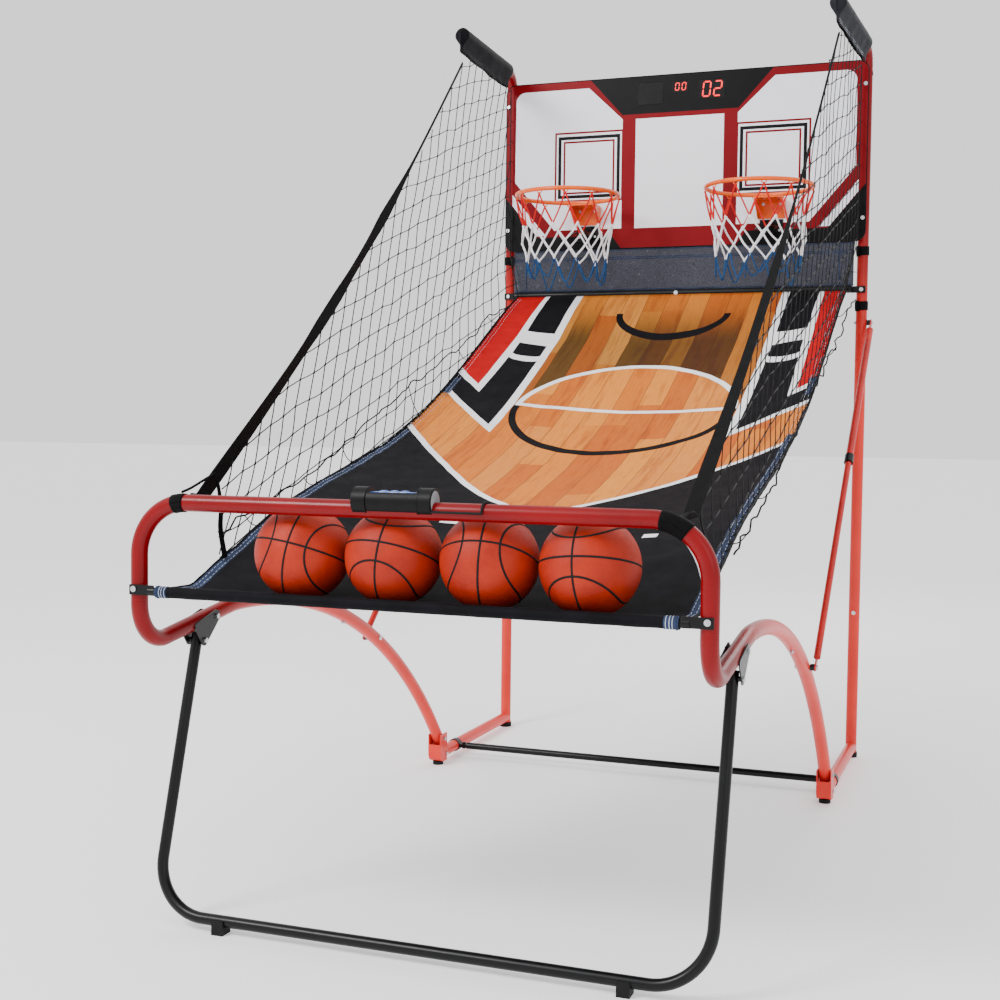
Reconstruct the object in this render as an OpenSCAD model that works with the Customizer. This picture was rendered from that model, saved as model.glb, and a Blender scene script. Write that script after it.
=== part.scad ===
// Two-player folding basketball hoop machine, millimetres.
// The player stands at -Y, +X is the player's right, Z is up, the floor is Z = 0.
// Most positions are written as d, the distance in front of the rear post axis.

/* [Overall] */
// Distance from the middle plane to the axis of a side frame
side_x = 540; // [500:1:580]
// Distance of the rear post axis behind the middle of the footprint
post_y = 1008; // [950:0.1:1060]

/* [Main tube] */
// Outside radius of the main frame tube
tube_r = 15.9; // [12.5:0.1:19]
// Wall thickness of the main frame tube
tube_wall = 1.5; // [1:0.1:2.5]
// Length of a swaged joint inside the next tube
spigot_len = 60; // [40:1:80]
// Length of the swaged end of a top arm
arm_spigot = 42; // [30:1:60]
// Radius of a frame bolt
bolt_r = 3; // [2:0.5:4]

/* [Rear frame] */
// Height of the lower end of a post
post_z0 = 6; // [4:1:20]
// Height of the joint between lower and upper post
post_seam_z = 398; // [300:1:500]
// Height of the joint between post and top arm
arm_seam_z = 1997; // [1900:1:2050]
// Bend radius of a top arm
arm_bend_r = 48; // [40:1:90]
// Reach of a top arm in front of the post
arm_reach = 484; // [400:1:560]
// Angle a top arm leans inwards
arm_toe = 2.7; // [0:0.1:5]
// Height of the foot tube axis
foot_z = 29; // [25:1:40]
// Height of the cross tube under the board
back_tube_z = 1362; // [1300:1:1420]
// Distance of the cross tube in front of the posts
back_tube_d = 28; // [25:1:40]
// Radius of the black cross tubes
cross_r = 9.5; // [8:0.1:12]
// Distance of the spreader bar in front of the posts
spreader_d = 430; // [350:5:500]

/* [Folding arch] */
// Radius of the large arch
arch_rad = 1426; // [1300:1:1550]
// Distance of the top of the arch in front of the posts
apex_d = 1654.6; // [1600:0.1:1700]
// Height of the top of the arch centreline
apex_z = 587; // [560:1:620]
// Position of the fold pivot along the arch, in degrees
pivot_ang = 140.2; // [138:0.1:142]
// Position of the joint in the arch, in degrees
seam_ang = 111.6; // [105:0.1:118]
// Position of the brace pivot along the arch, in degrees
brace_ang = 118; // [112:0.1:125]
// Radius of the small arc after the top
crest_rad = 300; // [200:10:500]
// Fall of the straight part after the top, in degrees
fall_ang = 8; // [4:1:14]
// Bend radius at the foot of the front loop
loop_bend_r = 75; // [60:1:100]
// Distance of the front loop in front of the posts
front_d = 2013.5; // [1950:0.5:2060]
// Height of the joint between arch and front bar
bar_seam_z = 634; // [628:1:660]
// Height of the front bar axis
bar_z = 817; // [760:1:860]
// Corner radius of the front bar
bar_corner_r = 100; // [70:5:130]

/* [Folding leg] */
// Radius of the leg tube
leg_r = 11.1; // [9:0.1:14]
// Distance of the leg pivot in front of the posts
leg_pivot_d = 1773; // [1740:1:1800]
// Lean of the leg from upright
leg_lean = 16.3; // [10:0.1:22]
// Distance of the leg axis in front of its pivot
leg_offset = 30; // [26:1:40]
// Bend radius at the bottom of the leg
leg_bend_r = 105; // [80:5:130]
// Height of the crossbar axis
crossbar_z = 24; // [20:1:32]
// Half distance between the leg feet
leg_foot_x = 395; // [350:5:450]

/* [Sliding braces] */
// Height of the upper brace pivot on the post
brace_top_z = 1268; // [1200:1:1320]
// Distance of the brace axis from the middle
brace_x = 567.6; // [565:0.1:575]
// Outside radius of the upper brace tube
brace_r = 9.5; // [8:0.1:11]
// Outside radius of the sliding brace tube
slide_r = 8; // [6:0.1:9]
// Length of the upper brace tube from its pivot
brace_len = 600; // [500:5:650]

/* [Board] */
// Half width of the board
board_half = 548; // [500:1:580]
// Height of the lower edge of the board
board_z0 = 1500; // [1450:5:1550]
// Height of the upper edge of the board
board_z1 = 2010; // [1950:5:2050]
// Thickness of the board
board_t = 12; // [8:1:18]
// Corner radius of the board
board_corner = 30; // [10:5:60]
// Height of the upper and lower board bolts
board_bolt_z = [1944, 1565];
// Centre of the score windows
window_z = 1958; // [1940:1:1970]

/* [Hoops] */
// Distance of a hoop from the middle
hoop_x = 280; // [240:5:320]
// Distance of a hoop centre in front of the posts
hoop_d = 235; // [210:1:260]
// Height of the hoops
hoop_z = 1632; // [1600:1:1660]
// Radius of the hoop centreline
hoop_r = 148; // [130:1:160]
// Radius of the hoop rod
rod_r = 6; // [4:0.5:8]
// Height of the lower end of the nets
net_z0 = 1350; // [1320:5:1420]
// Radius of the lower end of the nets
net_r0 = 106; // [95:1:120]
// Number of net hooks on a hoop
hook_count = 12; // [8:1:14]

/* [Fabric] */
// Half width of the ramp
ramp_half = 500; // [480:1:520]
// Thickness of the fabric
cloth_t = 2; // [1:0.5:3]
// Sag of the ramp middle below its hems
ramp_sag = 45; // [20:1:60]
// Distance of the join of ramp and ball pocket
pocket_d = 1780; // [1750:1:1820]
// Distance of the front fabric tube
fabric_d = 2027; // [2020:0.5:2035]
// Height of the front fabric tube
fabric_z = 651; // [640:1:660]
// Distance of the side nets from the middle, at the posts
net_x = 530.4; // [520:0.1:534]
// Angle a side net leans inwards
net_lean = 1.6; // [0:0.1:3]
// Distance of the front corner of a side net in front of the posts
net_front = 1840; // [1780:5:1900]

/* [Balls] */
// Radius of a ball
ball_r = 88.9; // [80:0.1:100]
// Spacing of the four balls
ball_step = 184; // [180:1:200]
// Sideways place of the first ball
ball_x0 = -237; // [-300:1:-200]
// Distance of the ball centres in front of the posts
ball_d = 1939; // [1900:1:1960]

/* [Control unit] */
// Middle of the control unit along the bar
unit_x = -17.5; // [-60:0.5:60]
// Radius of the control unit
unit_r = 25; // [22:0.5:30]
// Height of the control unit above the bar axis
unit_lift = 15; // [10:0.5:20]

/* [Hidden] */
$fn = 48;
bore_r = tube_r - tube_wall;
spigot_r = bore_r - 0.05;
spigot_bore = spigot_r - tube_wall;
hole_r = bolt_r + 0.2;
arch_c = [apex_d, apex_z - arch_rad];
crest_c = [apex_d, apex_z - crest_rad];
crest_end = crest_c + crest_rad * [sin(fall_ang), cos(fall_ang)];
loop_cd = front_d - loop_bend_r;
loop_start_d = loop_cd - loop_bend_r * sin(fall_ang);
loop_start = [loop_start_d, crest_end[1] - (loop_start_d - crest_end[0]) * tan(fall_ang)];
loop_c = [loop_cd, loop_start[1] + loop_bend_r * cos(fall_ang)];
fold_p = arch_at(pivot_ang);
brace_p = arch_at(brace_ang);
brace_run = [brace_p[0], brace_p[1] - brace_top_z];
brace_full = norm(brace_run);
brace_tilt = atan2(brace_run[1], brace_run[0]);
seam_back = spigot_len / arch_rad * 180 / PI;
leg_pivot = [leg_pivot_d, loop_start[1] + (loop_start[0] - leg_pivot_d) * tan(fall_ang)];
leg_dir = [sin(leg_lean), -cos(leg_lean)];
leg_base = leg_pivot + leg_offset * [cos(leg_lean), sin(leg_lean)];
leg_top_t = 40;
leg_end_t = (leg_base[1] - crossbar_z) / cos(leg_lean);
leg_floor_d = leg_base[0] + leg_end_t * sin(leg_lean);
ball_z = pocket_z(ball_d) + cloth_t + ball_r + 0.6;
board_d = tube_r + 0.1;
board_face = board_d + board_t;
unit_z = bar_z + unit_lift;
socket_in = tube_r + 0.4;
socket_t = 2.6;

function arch_at(a) = arch_c + arch_rad * [cos(a), sin(a)];
function hem_dip(d) = 80 * pow(sin(180 * min(1, max(0, (d - 40) / 1560))), 1.5);
function hem_z(d) = max(650, 1355 - 0.379 * (d - 40)) - hem_dip(d);
function sag(d) = ramp_sag * min(1, (d - 39) / 240) * (1 - 0.69 * min(1, max(0, (d - 1560) / 300)));
function pocket_z(d) = hem_z(d) - sag(d);
function strap_z(d) = 1984 - 0.8106 * (d - 463) - 62 * sin(180 * max(0, d - 463) / 1447);
function net_rad(z) = net_r0 + (hoop_r - 3 - net_r0) * (z - net_z0) / (hoop_z - 18 - net_z0);

// ---- helpers ----

// Local X = d, local Y = height, local Z = towards -X
module side(x) {
  translate([x, post_y, 0]) rotate([90, 0, -90]) children();
}

// Local X = x, local Y = height, local Z = away from the rear
module front(d) {
  translate([0, post_y - d, 0]) rotate([90, 0, 0]) children();
}

module left() {
  mirror([1, 0, 0]) children();
}

module both() {
  children();
  mirror([1, 0, 0]) children();
}

module seg(p, q, r) {
  v = q - p;
  translate([p[0], p[1], 0]) rotate([0, 0, atan2(v[1], v[0])]) rotate([0, 90, 0]) cylinder(h = norm(v), r = r);
}

module bend(c, rad, a0, a1, r) {
  translate([c[0], c[1], 0]) rotate([0, 0, a0]) rotate_extrude(angle = a1 - a0) translate([rad, 0]) circle(r = r);
}

module pin_x(x0, x1, d, z, r) {
  translate([x0, post_y - d, z]) rotate([0, 90, 0]) cylinder(h = x1 - x0, r = r);
}

module pin_y(d0, d1, x, z, r) {
  translate([x, post_y - d0, z]) rotate([90, 0, 0]) cylinder(h = d1 - d0, r = r);
}

module pin_z(z0, z1, x, d, r) {
  translate([x, post_y - d, z0]) cylinder(h = z1 - z0, r = r);
}

module block(x0, x1, d0, d1, z0, z1) {
  translate([x0, post_y - d1, z0]) cube([x1 - x0, d1 - d0, z1 - z0]);
}

module hex(r, h) {
  cylinder(h = h, r = r, $fn = 6);
}

// Bolt across a side frame: domed head outside, nut inside
module bolt_x(x0, x1, d, z, r) {
  pin_x(x0 - 3.4, x1, d, z, r);
  translate([x1, post_y - d, z]) rotate([0, 90, 0]) cylinder(h = 3, r = r * 1.9);
  translate([x0 - 4.8, post_y - d, z]) rotate([0, 90, 0]) hex(r * 1.85, 4.8);
}

// Bolt running away from the rear, head in front
module bolt_y(d0, d1, x, z, r) {
  pin_y(d0 - 3.4, d1, x, z, r);
  translate([x, post_y - d1, z]) rotate([90, 0, 0]) cylinder(h = 3, r = r * 1.9);
  translate([x, post_y - d0 + 4.8, z]) rotate([90, 0, 0]) hex(r * 1.85, 4.8);
}

// ---- rear frame ----

module rear_post_lower() {
  color("firebrick") difference() {
    side(side_x) {
      seg([0, post_z0], [0, post_seam_z], tube_r);
      seg([0, post_seam_z - 5], [0, post_seam_z + spigot_len], spigot_r);
    }
    side(side_x) {
      seg([0, post_z0 - 1], [0, post_seam_z - 8], bore_r);
      seg([0, post_seam_z - 9], [0, post_seam_z + spigot_len + 1], spigot_bore);
    }
    pin_y(-20, 20, side_x, post_seam_z + 28, hole_r);
  }
}

module rear_post_upper() {
  color("firebrick") difference() {
    side(side_x) seg([0, post_seam_z + 0.05], [0, arm_seam_z], tube_r);
    side(side_x) seg([0, post_seam_z - 1], [0, arm_seam_z + 1], bore_r);
    pin_y(-20, 20, side_x, post_seam_z + 28, hole_r);
    pin_x(side_x - 20, side_x + 20, 0, arm_seam_z - 20, hole_r);
    pin_x(side_x - 20, side_x + 20, 0, brace_top_z, hole_r);
    for (z = board_bolt_z) pin_y(-20, 20, side_x, z, hole_r);
    pin_y(-20, 20, side_x, back_tube_z, hole_r);
  }
}

module foot_tube() {
  color("firebrick") difference() {
    side(side_x) seg([0, foot_z], [fold_p[0] - 1, foot_z], tube_r);
    side(side_x) seg([0, foot_z - 40], [0, foot_z + 40], tube_r + 0.02);
    side(side_x) seg([tube_r, foot_z], [fold_p[0] + 5, foot_z], bore_r);
    pin_x(side_x - 25, side_x + 25, fold_p[0] - 16, foot_z, hole_r);
  }
}

module socket_outline(g) {
  d0 = fold_p[0] - 22;
  translate([d0, foot_z + 7]) square([48 - g, 53]);
  translate([d0, 10 + g]) square([22, 50]);
  translate([d0 + 22, 36]) circle(r = 26 - g);
}

module socket_bracket() {
  half = socket_in + socket_t;
  color("firebrick") difference() {
    side(side_x + half) linear_extrude(height = 2 * half) socket_outline(0);
    side(side_x + socket_in) linear_extrude(height = 2 * socket_in) {
      socket_outline(2.6);
      translate([fold_p[0] - 40, 12.9]) square([30, 90]);
      translate([fold_p[0] - 5, foot_z + 38]) square([60, 60]);
      translate([fold_p[0] - 40, 60]) square([90, 60]);
    }
    pin_x(side_x - 25, side_x + 25, fold_p[0], fold_p[1], hole_r);
    pin_x(side_x - 25, side_x + 25, fold_p[0] - 16, foot_z, hole_r);
  }
}

module top_arm() {
  straight_z = arm_seam_z + 2;
  reach_z = straight_z + arm_bend_r;
  color("firebrick") difference() {
    side(side_x) rotate([0, -arm_toe, 0]) difference() {
      union() {
        seg([0, arm_seam_z - arm_spigot], [0, arm_seam_z + 1], spigot_r);
        seg([0, arm_seam_z + 0.05], [0, straight_z], tube_r);
        bend([arm_bend_r, straight_z], arm_bend_r, 90, 180, tube_r);
        seg([arm_bend_r, reach_z], [arm_reach, reach_z], tube_r);
      }
      seg([0, arm_seam_z - arm_spigot - 1], [0, straight_z + 0.5], spigot_bore);
      bend([arm_bend_r, straight_z], arm_bend_r, 90, 180, bore_r);
      seg([arm_bend_r, reach_z], [arm_reach + 1, reach_z], bore_r);
    }
    pin_x(side_x - 20, side_x + 20, 0, arm_seam_z - 20, hole_r);
  }
}

module spreader_bar() {
  half = side_x - 38;
  color("dimgray") difference() {
    union() {
      translate([-half, post_y - spreader_d, foot_z]) rotate([0, 90, 0]) cylinder(h = 2 * half, r = cross_r);
      block(-half - 16, half + 16, spreader_d - cross_r, spreader_d + cross_r, foot_z - 2.5, foot_z + 2.5);
    }
    translate([-half + 5, post_y - spreader_d, foot_z]) rotate([0, 90, 0]) cylinder(h = 2 * half - 10, r = cross_r - 1.2);
    for (s = [-1, 1]) pin_z(0, 60, s * (half + 10), spreader_d, hole_r);
  }
}

module back_tube() {
  half = side_x - 26;
  color("dimgray") difference() {
    union() {
      translate([-half, post_y - back_tube_d, back_tube_z]) rotate([0, 90, 0]) cylinder(h = 2 * half, r = cross_r);
      block(half - 14, side_x + 12, board_d, board_d + 4.5, back_tube_z - cross_r, back_tube_z + cross_r);
      block(-side_x - 12, -half + 14, board_d, board_d + 4.5, back_tube_z - cross_r, back_tube_z + cross_r);
    }
    translate([-half + 16, post_y - back_tube_d, back_tube_z]) rotate([0, 90, 0])
      cylinder(h = 2 * half - 32, r = cross_r - 1.2);
    for (s = [-1, 1]) pin_y(0, 60, s * side_x, back_tube_z, hole_r);
    pin_y(0, 60, 0, back_tube_z, 2.2);
  }
}

// ---- board and score unit ----

module board_outline() {
  w = board_half;
  c = board_corner;
  translate([-w, board_z0 + c]) square([2 * w, board_z1 - board_z0 - 2 * c]);
  translate([-w + c, board_z0]) square([2 * w - 2 * c, board_z1 - board_z0]);
  for (x = [-w + c, w - c]) {
    translate([x, board_z0 + c]) circle(r = c);
    translate([x, board_z1 - c]) circle(r = c);
  }
}

// Score windows: home score, clock, visitor score
module windows(g) {
  translate([-129 - g, 1925 - g]) square([78 + 2 * g, 66 + 2 * g]);
  translate([-22 - g, 1954 - g]) square([48 + 2 * g, 36 + 2 * g]);
  translate([58 - g, 1931 - g]) square([78 + 2 * g, 58 + 2 * g]);
}

module backboard() {
  color("white") difference() {
    front(board_d) linear_extrude(height = board_t) difference() {
      board_outline();
      windows(0);
    }
    for (s = [-1, 1]) {
      for (z = board_bolt_z) pin_y(0, 60, s * side_x, z, hole_r);
      for (x = [-24, 24]) {
        pin_y(0, 60, s * hoop_x + x, hoop_z - 18, 2.7);
        pin_y(0, 60, s * hoop_x + x, hoop_z - 95, 2.2);
      }
      for (x = [-130, 130]) pin_y(0, 60, x, 1912, 1.7);
    }
  }
}

module display_window() {
  color("black") {
    front(board_d - 1.7) linear_extrude(height = 1.6) translate([-150, 1917]) square([300, 82]);
    front(board_d - 0.2) linear_extrude(height = board_t - 0.3) windows(-0.3);
  }
}

// Seven-segment block: a body with a raised digit face
module digit_block(x0, z0, w, h) {
  block(x0, x0 + w, board_d - 11, board_d - 2.6, z0, z0 + h);
  for (k = [1, 2, 3]) {
    block(x0 + w * 0.25, x0 + w * 0.75, board_d - 2.7, board_d - 1.9, z0 + h * (k * 0.36 - 0.22) - 1, z0 + h * (k * 0.36 - 0.22) + 1);
  }
  for (k = [0, 1]) {
    for (j = [0.2, 0.8]) {
      block(x0 + w * j - 1, x0 + w * j + 1, board_d - 2.7, board_d - 1.9, z0 + h * (0.2 + 0.36 * k), z0 + h * (0.44 + 0.36 * k));
    }
  }
}

module digit_modules() {
  color("red") {
    for (k = [0, 1]) {
      digit_block(-124 + 36 * k, 1930, 32, 56);
      digit_block(-18 + 21 * k, 1957, 19, 30);
      digit_block(63 + 36 * k, 1934, 32, 52);
    }
  }
}

module score_pcb() {
  color("green") {
    block(-165, 165, board_d - 12.8, board_d - 11.2, 1914, 1998);
    block(-150, -120, board_d - 17, board_d - 12.7, 1918, 1926);
    block(90, 130, board_d - 16, board_d - 12.7, 1950, 1980);
  }
}

module score_housing() {
  d1 = board_d - 0.1;
  color("black") difference() {
    block(-200, 200, -20, d1, 1903, 2006);
    block(-197, 197, -17.5, d1 + 1, 1906, 2003);
    block(-50.3, 50.3, -22, -17, 1927.7, 1972.3);
    for (x = [-130, 130]) pin_y(-40, 20, x, 1912, 1.7);
    for (k = [-3 : 3]) {
      block(120, 180, -22, -17, 1950 + k * 6, 1952 + k * 6);
    }
  }
  color("black") difference() {
    block(-54, 54, -17.6, -0.5, 1920, 1980);
    block(-51, 51, -18.6, -1.9, 1923, 1977);
  }
}

module battery_cover() {
  color("black") {
    block(-50, 50, -20, -17.6, 1928, 1972);
    block(-14, 14, -20.8, -19.9, 1932, 1935);
  }
}

module batteries() {
  color("silver") for (k = [0, 1, 2]) {
    pin_x(-25, 25, -9, 1935 + 15 * k, 6.9);
    pin_x(24.9, 26.5, -9, 1935 + 15 * k, 2.7);
  }
}

// ---- hoops ----

module hoop() {
  w = 40;
  color("darkorange") difference() {
    union() {
      translate([hoop_x, post_y - hoop_d, hoop_z]) rotate_extrude() translate([hoop_r, 0]) circle(r = rod_r);
      for (k = [0 : hook_count - 1]) {
        a = 360 / hook_count * (k + 0.5);
        translate([hoop_x + hoop_r * cos(a), post_y - hoop_d + hoop_r * sin(a), hoop_z - rod_r + 1])
          rotate([90, 0, a + 90]) rotate([0, 0, 180]) rotate_extrude(angle = 180) translate([7, 0]) circle(r = 1.6);
      }
      block(hoop_x - w, hoop_x + w, board_face + 0.05, board_face + 3, hoop_z - 60, hoop_z - 4);
      block(hoop_x - w, hoop_x + w, board_face + 0.05, hoop_d - hoop_r + 12, hoop_z - 8, hoop_z - 4);
      for (x = [hoop_x - w, hoop_x + w - 3]) {
        side(x + 3) linear_extrude(height = 3)
          polygon([[board_face + 1, hoop_z - 60], [board_face + 8, hoop_z - 60],
            [hoop_d - hoop_r + 4, hoop_z - 17], [hoop_d - hoop_r + 4, hoop_z - 5], [board_face + 1, hoop_z - 5]]);
      }
    }
    for (x = [-24, 24]) pin_y(0, 60, hoop_x + x, hoop_z - 18, 2.7);
  }
}

module hoop_net() {
  z1 = hoop_z - 18;
  color("white") difference() {
    translate([hoop_x, post_y - hoop_d, 0]) rotate_extrude()
      polygon([[net_rad(net_z0) - 1.5, net_z0], [net_rad(net_z0) + 1.5, net_z0],
        [net_rad(z1) + 1.5, z1], [net_rad(z1) - 1.5, z1]]);
    block(hoop_x - 48, hoop_x + 48, 0, hoop_d - 60, hoop_z - 150, hoop_z);
  }
}

module sensor_housings() {
  f = board_face + 0.1;
  color("black") both() difference() {
    union() {
      block(hoop_x - 34, hoop_x + 34, f, f + 4, hoop_z - 108, hoop_z - 63);
      block(hoop_x - 17, hoop_x + 17, f, f + 22, hoop_z - 104, hoop_z - 66);
    }
    block(hoop_x - 14.5, hoop_x + 14.5, f + 11, f + 23, hoop_z - 90, hoop_z - 60);
    pin_x(hoop_x - 20, hoop_x + 20, f + 16, hoop_z - 76, 1.68);
    for (x = [-24, 24]) pin_y(0, 60, hoop_x + x, hoop_z - 95, 2.2);
  }
}

// U-shaped paddle under the hoop, hinged in its housing
module sensor_paddle() {
  f = board_face + 0.1;
  color("black") translate([hoop_x, post_y - f - 16, hoop_z - 76]) {
    translate([-19, 0, 0]) rotate([0, 90, 0]) cylinder(h = 38, r = 1.6);
    translate([-13, 0, 0]) rotate([0, 90, 0]) cylinder(h = 26, r = 3.6);
    rotate([18, 0, 0]) translate([0, 0, -1.25]) linear_extrude(height = 2.5)
      polygon([[-9, 0], [-9, -34], [-32, -40], [-32, -88], [-23, -88], [-23, -48],
        [23, -48], [23, -88], [32, -88], [32, -40], [9, -34], [9, 0]]);
  }
}

// ---- caps, bolts and straps of the rear frame ----

module caps_and_feet() {
  color("black") both() {
    difference() {
      pin_z(0, 14, side_x, 0, tube_r + 2.4);
      pin_z(post_z0 - 0.05, 15, side_x, 0, tube_r + 0.05);
      side(side_x) seg([0, foot_z], [60, foot_z], tube_r + 0.1);
    }
    pin_z(0, 9.95, side_x, fold_p[0] - 2, 15);
    side(side_x) rotate([0, -arm_toe, 0]) {
      seg([arm_reach - 14, arm_seam_z + 2 + arm_bend_r], [arm_reach + 0.1, arm_seam_z + 2 + arm_bend_r], bore_r - 0.05);
      seg([arm_reach + 0.05, arm_seam_z + 2 + arm_bend_r], [arm_reach + 4, arm_seam_z + 2 + arm_bend_r], tube_r);
    }
  }
}

module spreader_clamp() {
  x0 = side_x - 37.5;
  color("dimgray") difference() {
    union() {
      side(side_x) seg([spreader_d - 11, foot_z], [spreader_d + 11, foot_z], tube_r + 2.4);
      block(x0, side_x - tube_r + 4, spreader_d - 11, spreader_d + 11, foot_z - 5, foot_z + 5);
    }
    side(side_x) seg([spreader_d - 12, foot_z], [spreader_d + 12, foot_z], tube_r + 0.05);
    block(x0 - 1, side_x - tube_r - 4.8, spreader_d - 12, spreader_d + 12, foot_z - 2.6, foot_z + 2.6);
    pin_z(0, 60, side_x - 28, spreader_d, hole_r);
  }
  color("silver") {
    pin_z(foot_z - 9, foot_z + 8, side_x - 28, spreader_d, bolt_r);
    translate([side_x - 28, post_y - spreader_d, foot_z + 5.1]) hex(5.6, 4.5);
    pin_z(foot_z - 8.5, foot_z - 5.1, side_x - 28, spreader_d, 5.7);
  }
}

module brace_spacer(d, z, x0) {
  color("black") difference() {
    pin_x(x0, brace_x - 1.65, d, z, 8);
    pin_x(x0 - 1, brace_x, d, z, bolt_r + 0.1);
  }
}

module frame_bolts() {
  both() {
    spreader_clamp();
    brace_spacer(0, brace_top_z, side_x + tube_r + 0.1);
    color("silver") {
      bolt_y(-tube_r - 0.1, tube_r + 0.1, side_x, post_seam_z + 28, bolt_r);
      bolt_x(side_x - tube_r - 0.1, side_x + tube_r + 0.1, 0, arm_seam_z - 20, bolt_r);
      bolt_x(side_x - tube_r - 0.1, brace_x + 1.65, 0, brace_top_z, bolt_r);
      bolt_x(side_x - socket_in - socket_t - 0.1, side_x + socket_in + socket_t + 0.1, fold_p[0], fold_p[1], bolt_r);
      bolt_x(side_x - socket_in - socket_t - 0.1, side_x + socket_in + socket_t + 0.1, fold_p[0] - 16, foot_z, bolt_r);
      for (z = board_bolt_z) bolt_y(-tube_r - 0.1, board_face + 0.1, side_x, z, bolt_r);
      bolt_y(-tube_r - 0.1, board_d + 4.6, side_x, back_tube_z, bolt_r);
      for (x = [-24, 24]) {
        bolt_y(board_d - 0.1, board_face + 3.1, hoop_x + x, hoop_z - 18, 2.5);
        bolt_y(board_d - 0.1, board_face + 4.2, hoop_x + x, hoop_z - 95, 2);
      }
    }
  }
  color("white") {
    pin_y(back_tube_d - cross_r - 2.5, back_tube_d + cross_r, 0, back_tube_z, 2);
    pin_y(back_tube_d + cross_r + 0.05, back_tube_d + cross_r + 2.2, 0, back_tube_z, 6);
    pin_y(back_tube_d + cross_r - 0.1, back_tube_d + cross_r + 0.2, 0, back_tube_z, 2);
  }
}

module mesh_skirt() {
  color("gray") block(-side_x + 22, side_x - 22, back_tube_d - 5, back_tube_d - 4, back_tube_z + cross_r + 0.3, board_z0 - 0.2);
}

module strap_ring(z) {
  difference() {
    pin_z(z - 13, z + 13, side_x, 0, tube_r + 2.4);
    pin_z(z - 14, z + 14, side_x, 0, tube_r + 0.1);
  }
}

// Edge bands of the side nets and the loops that tie nets and ramp to the frame
module net_straps() {
  n = 8;
  step = (1900 - 470) / n;
  foot = net_front - 46;
  color("black") both() {
    side(net_x + 3.2) rotate([0, -net_lean, 0]) linear_extrude(height = 2) {
      polygon(concat(
        [for (k = [0 : n]) let (d = 470 + step * k) [d + 7, strap_z(d) + 10]],
        [for (k = [0 : n]) let (d = 1900 - step * k) [d - 7, strap_z(d) - 10]]));
      polygon([[net_front - 8, strap_z(net_front)], [net_front + 8, strap_z(net_front)],
        [foot + 7, hem_z(foot) + 7], [foot - 7, hem_z(foot) + 7]]);
    }
    strap_ring(1472);
    strap_ring(1315);
    for (z = [1472, 1315]) block(net_x - 3.6, net_x + 2.6, 15, 38, z - 11, z + 11);
  }
}

module sleeve_profile(g) {
  translate([0, 2053]) circle(r = 20 - g);
  polygon([[-19.9 + g, 2051], [19.9 - g, 2051], [3 - g * 0.6, 1999 + g], [-3 + g * 0.6, 1999 + g]]);
}

module arm_sleeves() {
  color("black") both() side(side_x) rotate([0, -arm_toe, 0]) rotate([0, 90, 0]) {
    translate([0, 0, 62]) linear_extrude(height = arm_reach - 66) difference() {
      sleeve_profile(0);
      sleeve_profile(1.6);
    }
  }
}

module side_net() {
  n = 12;
  foot = net_front - 46;
  color("dimgray") side(net_x + 0.6) rotate([0, -net_lean, 0]) linear_extrude(height = 1.2) polygon(concat(
    [[41, 1996], [436, 1996]],
    [for (i = [0 : n]) let (d = 470 + (net_front - 470) * i / n) [d, strap_z(d)]],
    [for (i = [0 : n]) let (d = foot - (foot - 41) * i / n) [d, hem_z(d) + 6]]));
}

// ---- fabric ----

module ramp_fabric() {
  n = 20;
  m = 8;
  d0 = back_tube_d + cross_r + 3;
  pts = [for (i = [0 : n]) for (j = [0 : m]) for (k = [0, 1])
    let (d = d0 + (pocket_d - 0.2 - d0) * i / n)
    let (x = ramp_half * (2 * j / m - 1))
    [x, post_y - d, hem_z(d) - sag(d) * (1 - pow(x / ramp_half, 2)) + k * cloth_t]];
  w = 2 * (m + 1);
  top = [for (i = [0 : n - 1]) for (j = [0 : m - 1]) let (a = i * w + 2 * j + 1) for (f = [[a, a + 2, a + w + 2], [a, a + w + 2, a + w]]) f];
  low = [for (i = [0 : n - 1]) for (j = [0 : m - 1]) let (a = i * w + 2 * j) for (f = [[a, a + w + 2, a + 2], [a, a + w, a + w + 2]]) f];
  rear = [for (j = [0 : m - 1]) let (a = 2 * j) for (f = [[a + 3, a + 1, a], [a + 3, a, a + 2]]) f];
  fore = [for (j = [0 : m - 1]) let (a = n * w + 2 * j) for (f = [[a + 1, a + 3, a + 2], [a + 1, a + 2, a]]) f];
  edge0 = [for (i = [0 : n - 1]) let (a = i * w) for (f = [[a + 1, a + w + 1, a + w], [a + 1, a + w, a]]) f];
  edge1 = [for (i = [0 : n - 1]) let (a = i * w + 2 * m) for (f = [[a + w + 1, a + 1, a], [a + w + 1, a, a + w]]) f];
  color("burlywood") polyhedron(points = pts, faces = concat(top, low, rear, fore, edge0, edge1), convexity = 6);
}

// Front part of the fabric: the balls lie in it; its sleeve holds the front tube
module ball_pocket() {
  n = 12;
  d1 = fabric_d - 7;
  color("black") side(ramp_half - 6) linear_extrude(height = 2 * ramp_half - 12) polygon(concat(
    [for (i = [0 : n]) let (d = pocket_d + 0.2 + (d1 - pocket_d - 0.2) * i / n) [d, floor_z(d) + cloth_t]],
    [for (i = [0 : n]) let (d = d1 - (d1 - pocket_d - 0.2) * i / n) [d, floor_z(d)]]));
  color("black") side(ramp_half - 6) linear_extrude(height = 2 * ramp_half - 12) difference() {
    translate([fabric_d, fabric_z]) circle(r = slide_r + 1.9);
    translate([fabric_d, fabric_z]) circle(r = slide_r + 0.1);
  }
}

function floor_z(d) = pocket_z(d) + max(0, d - 1990) * 0.22;

// ---- folding front frame ----

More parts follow.
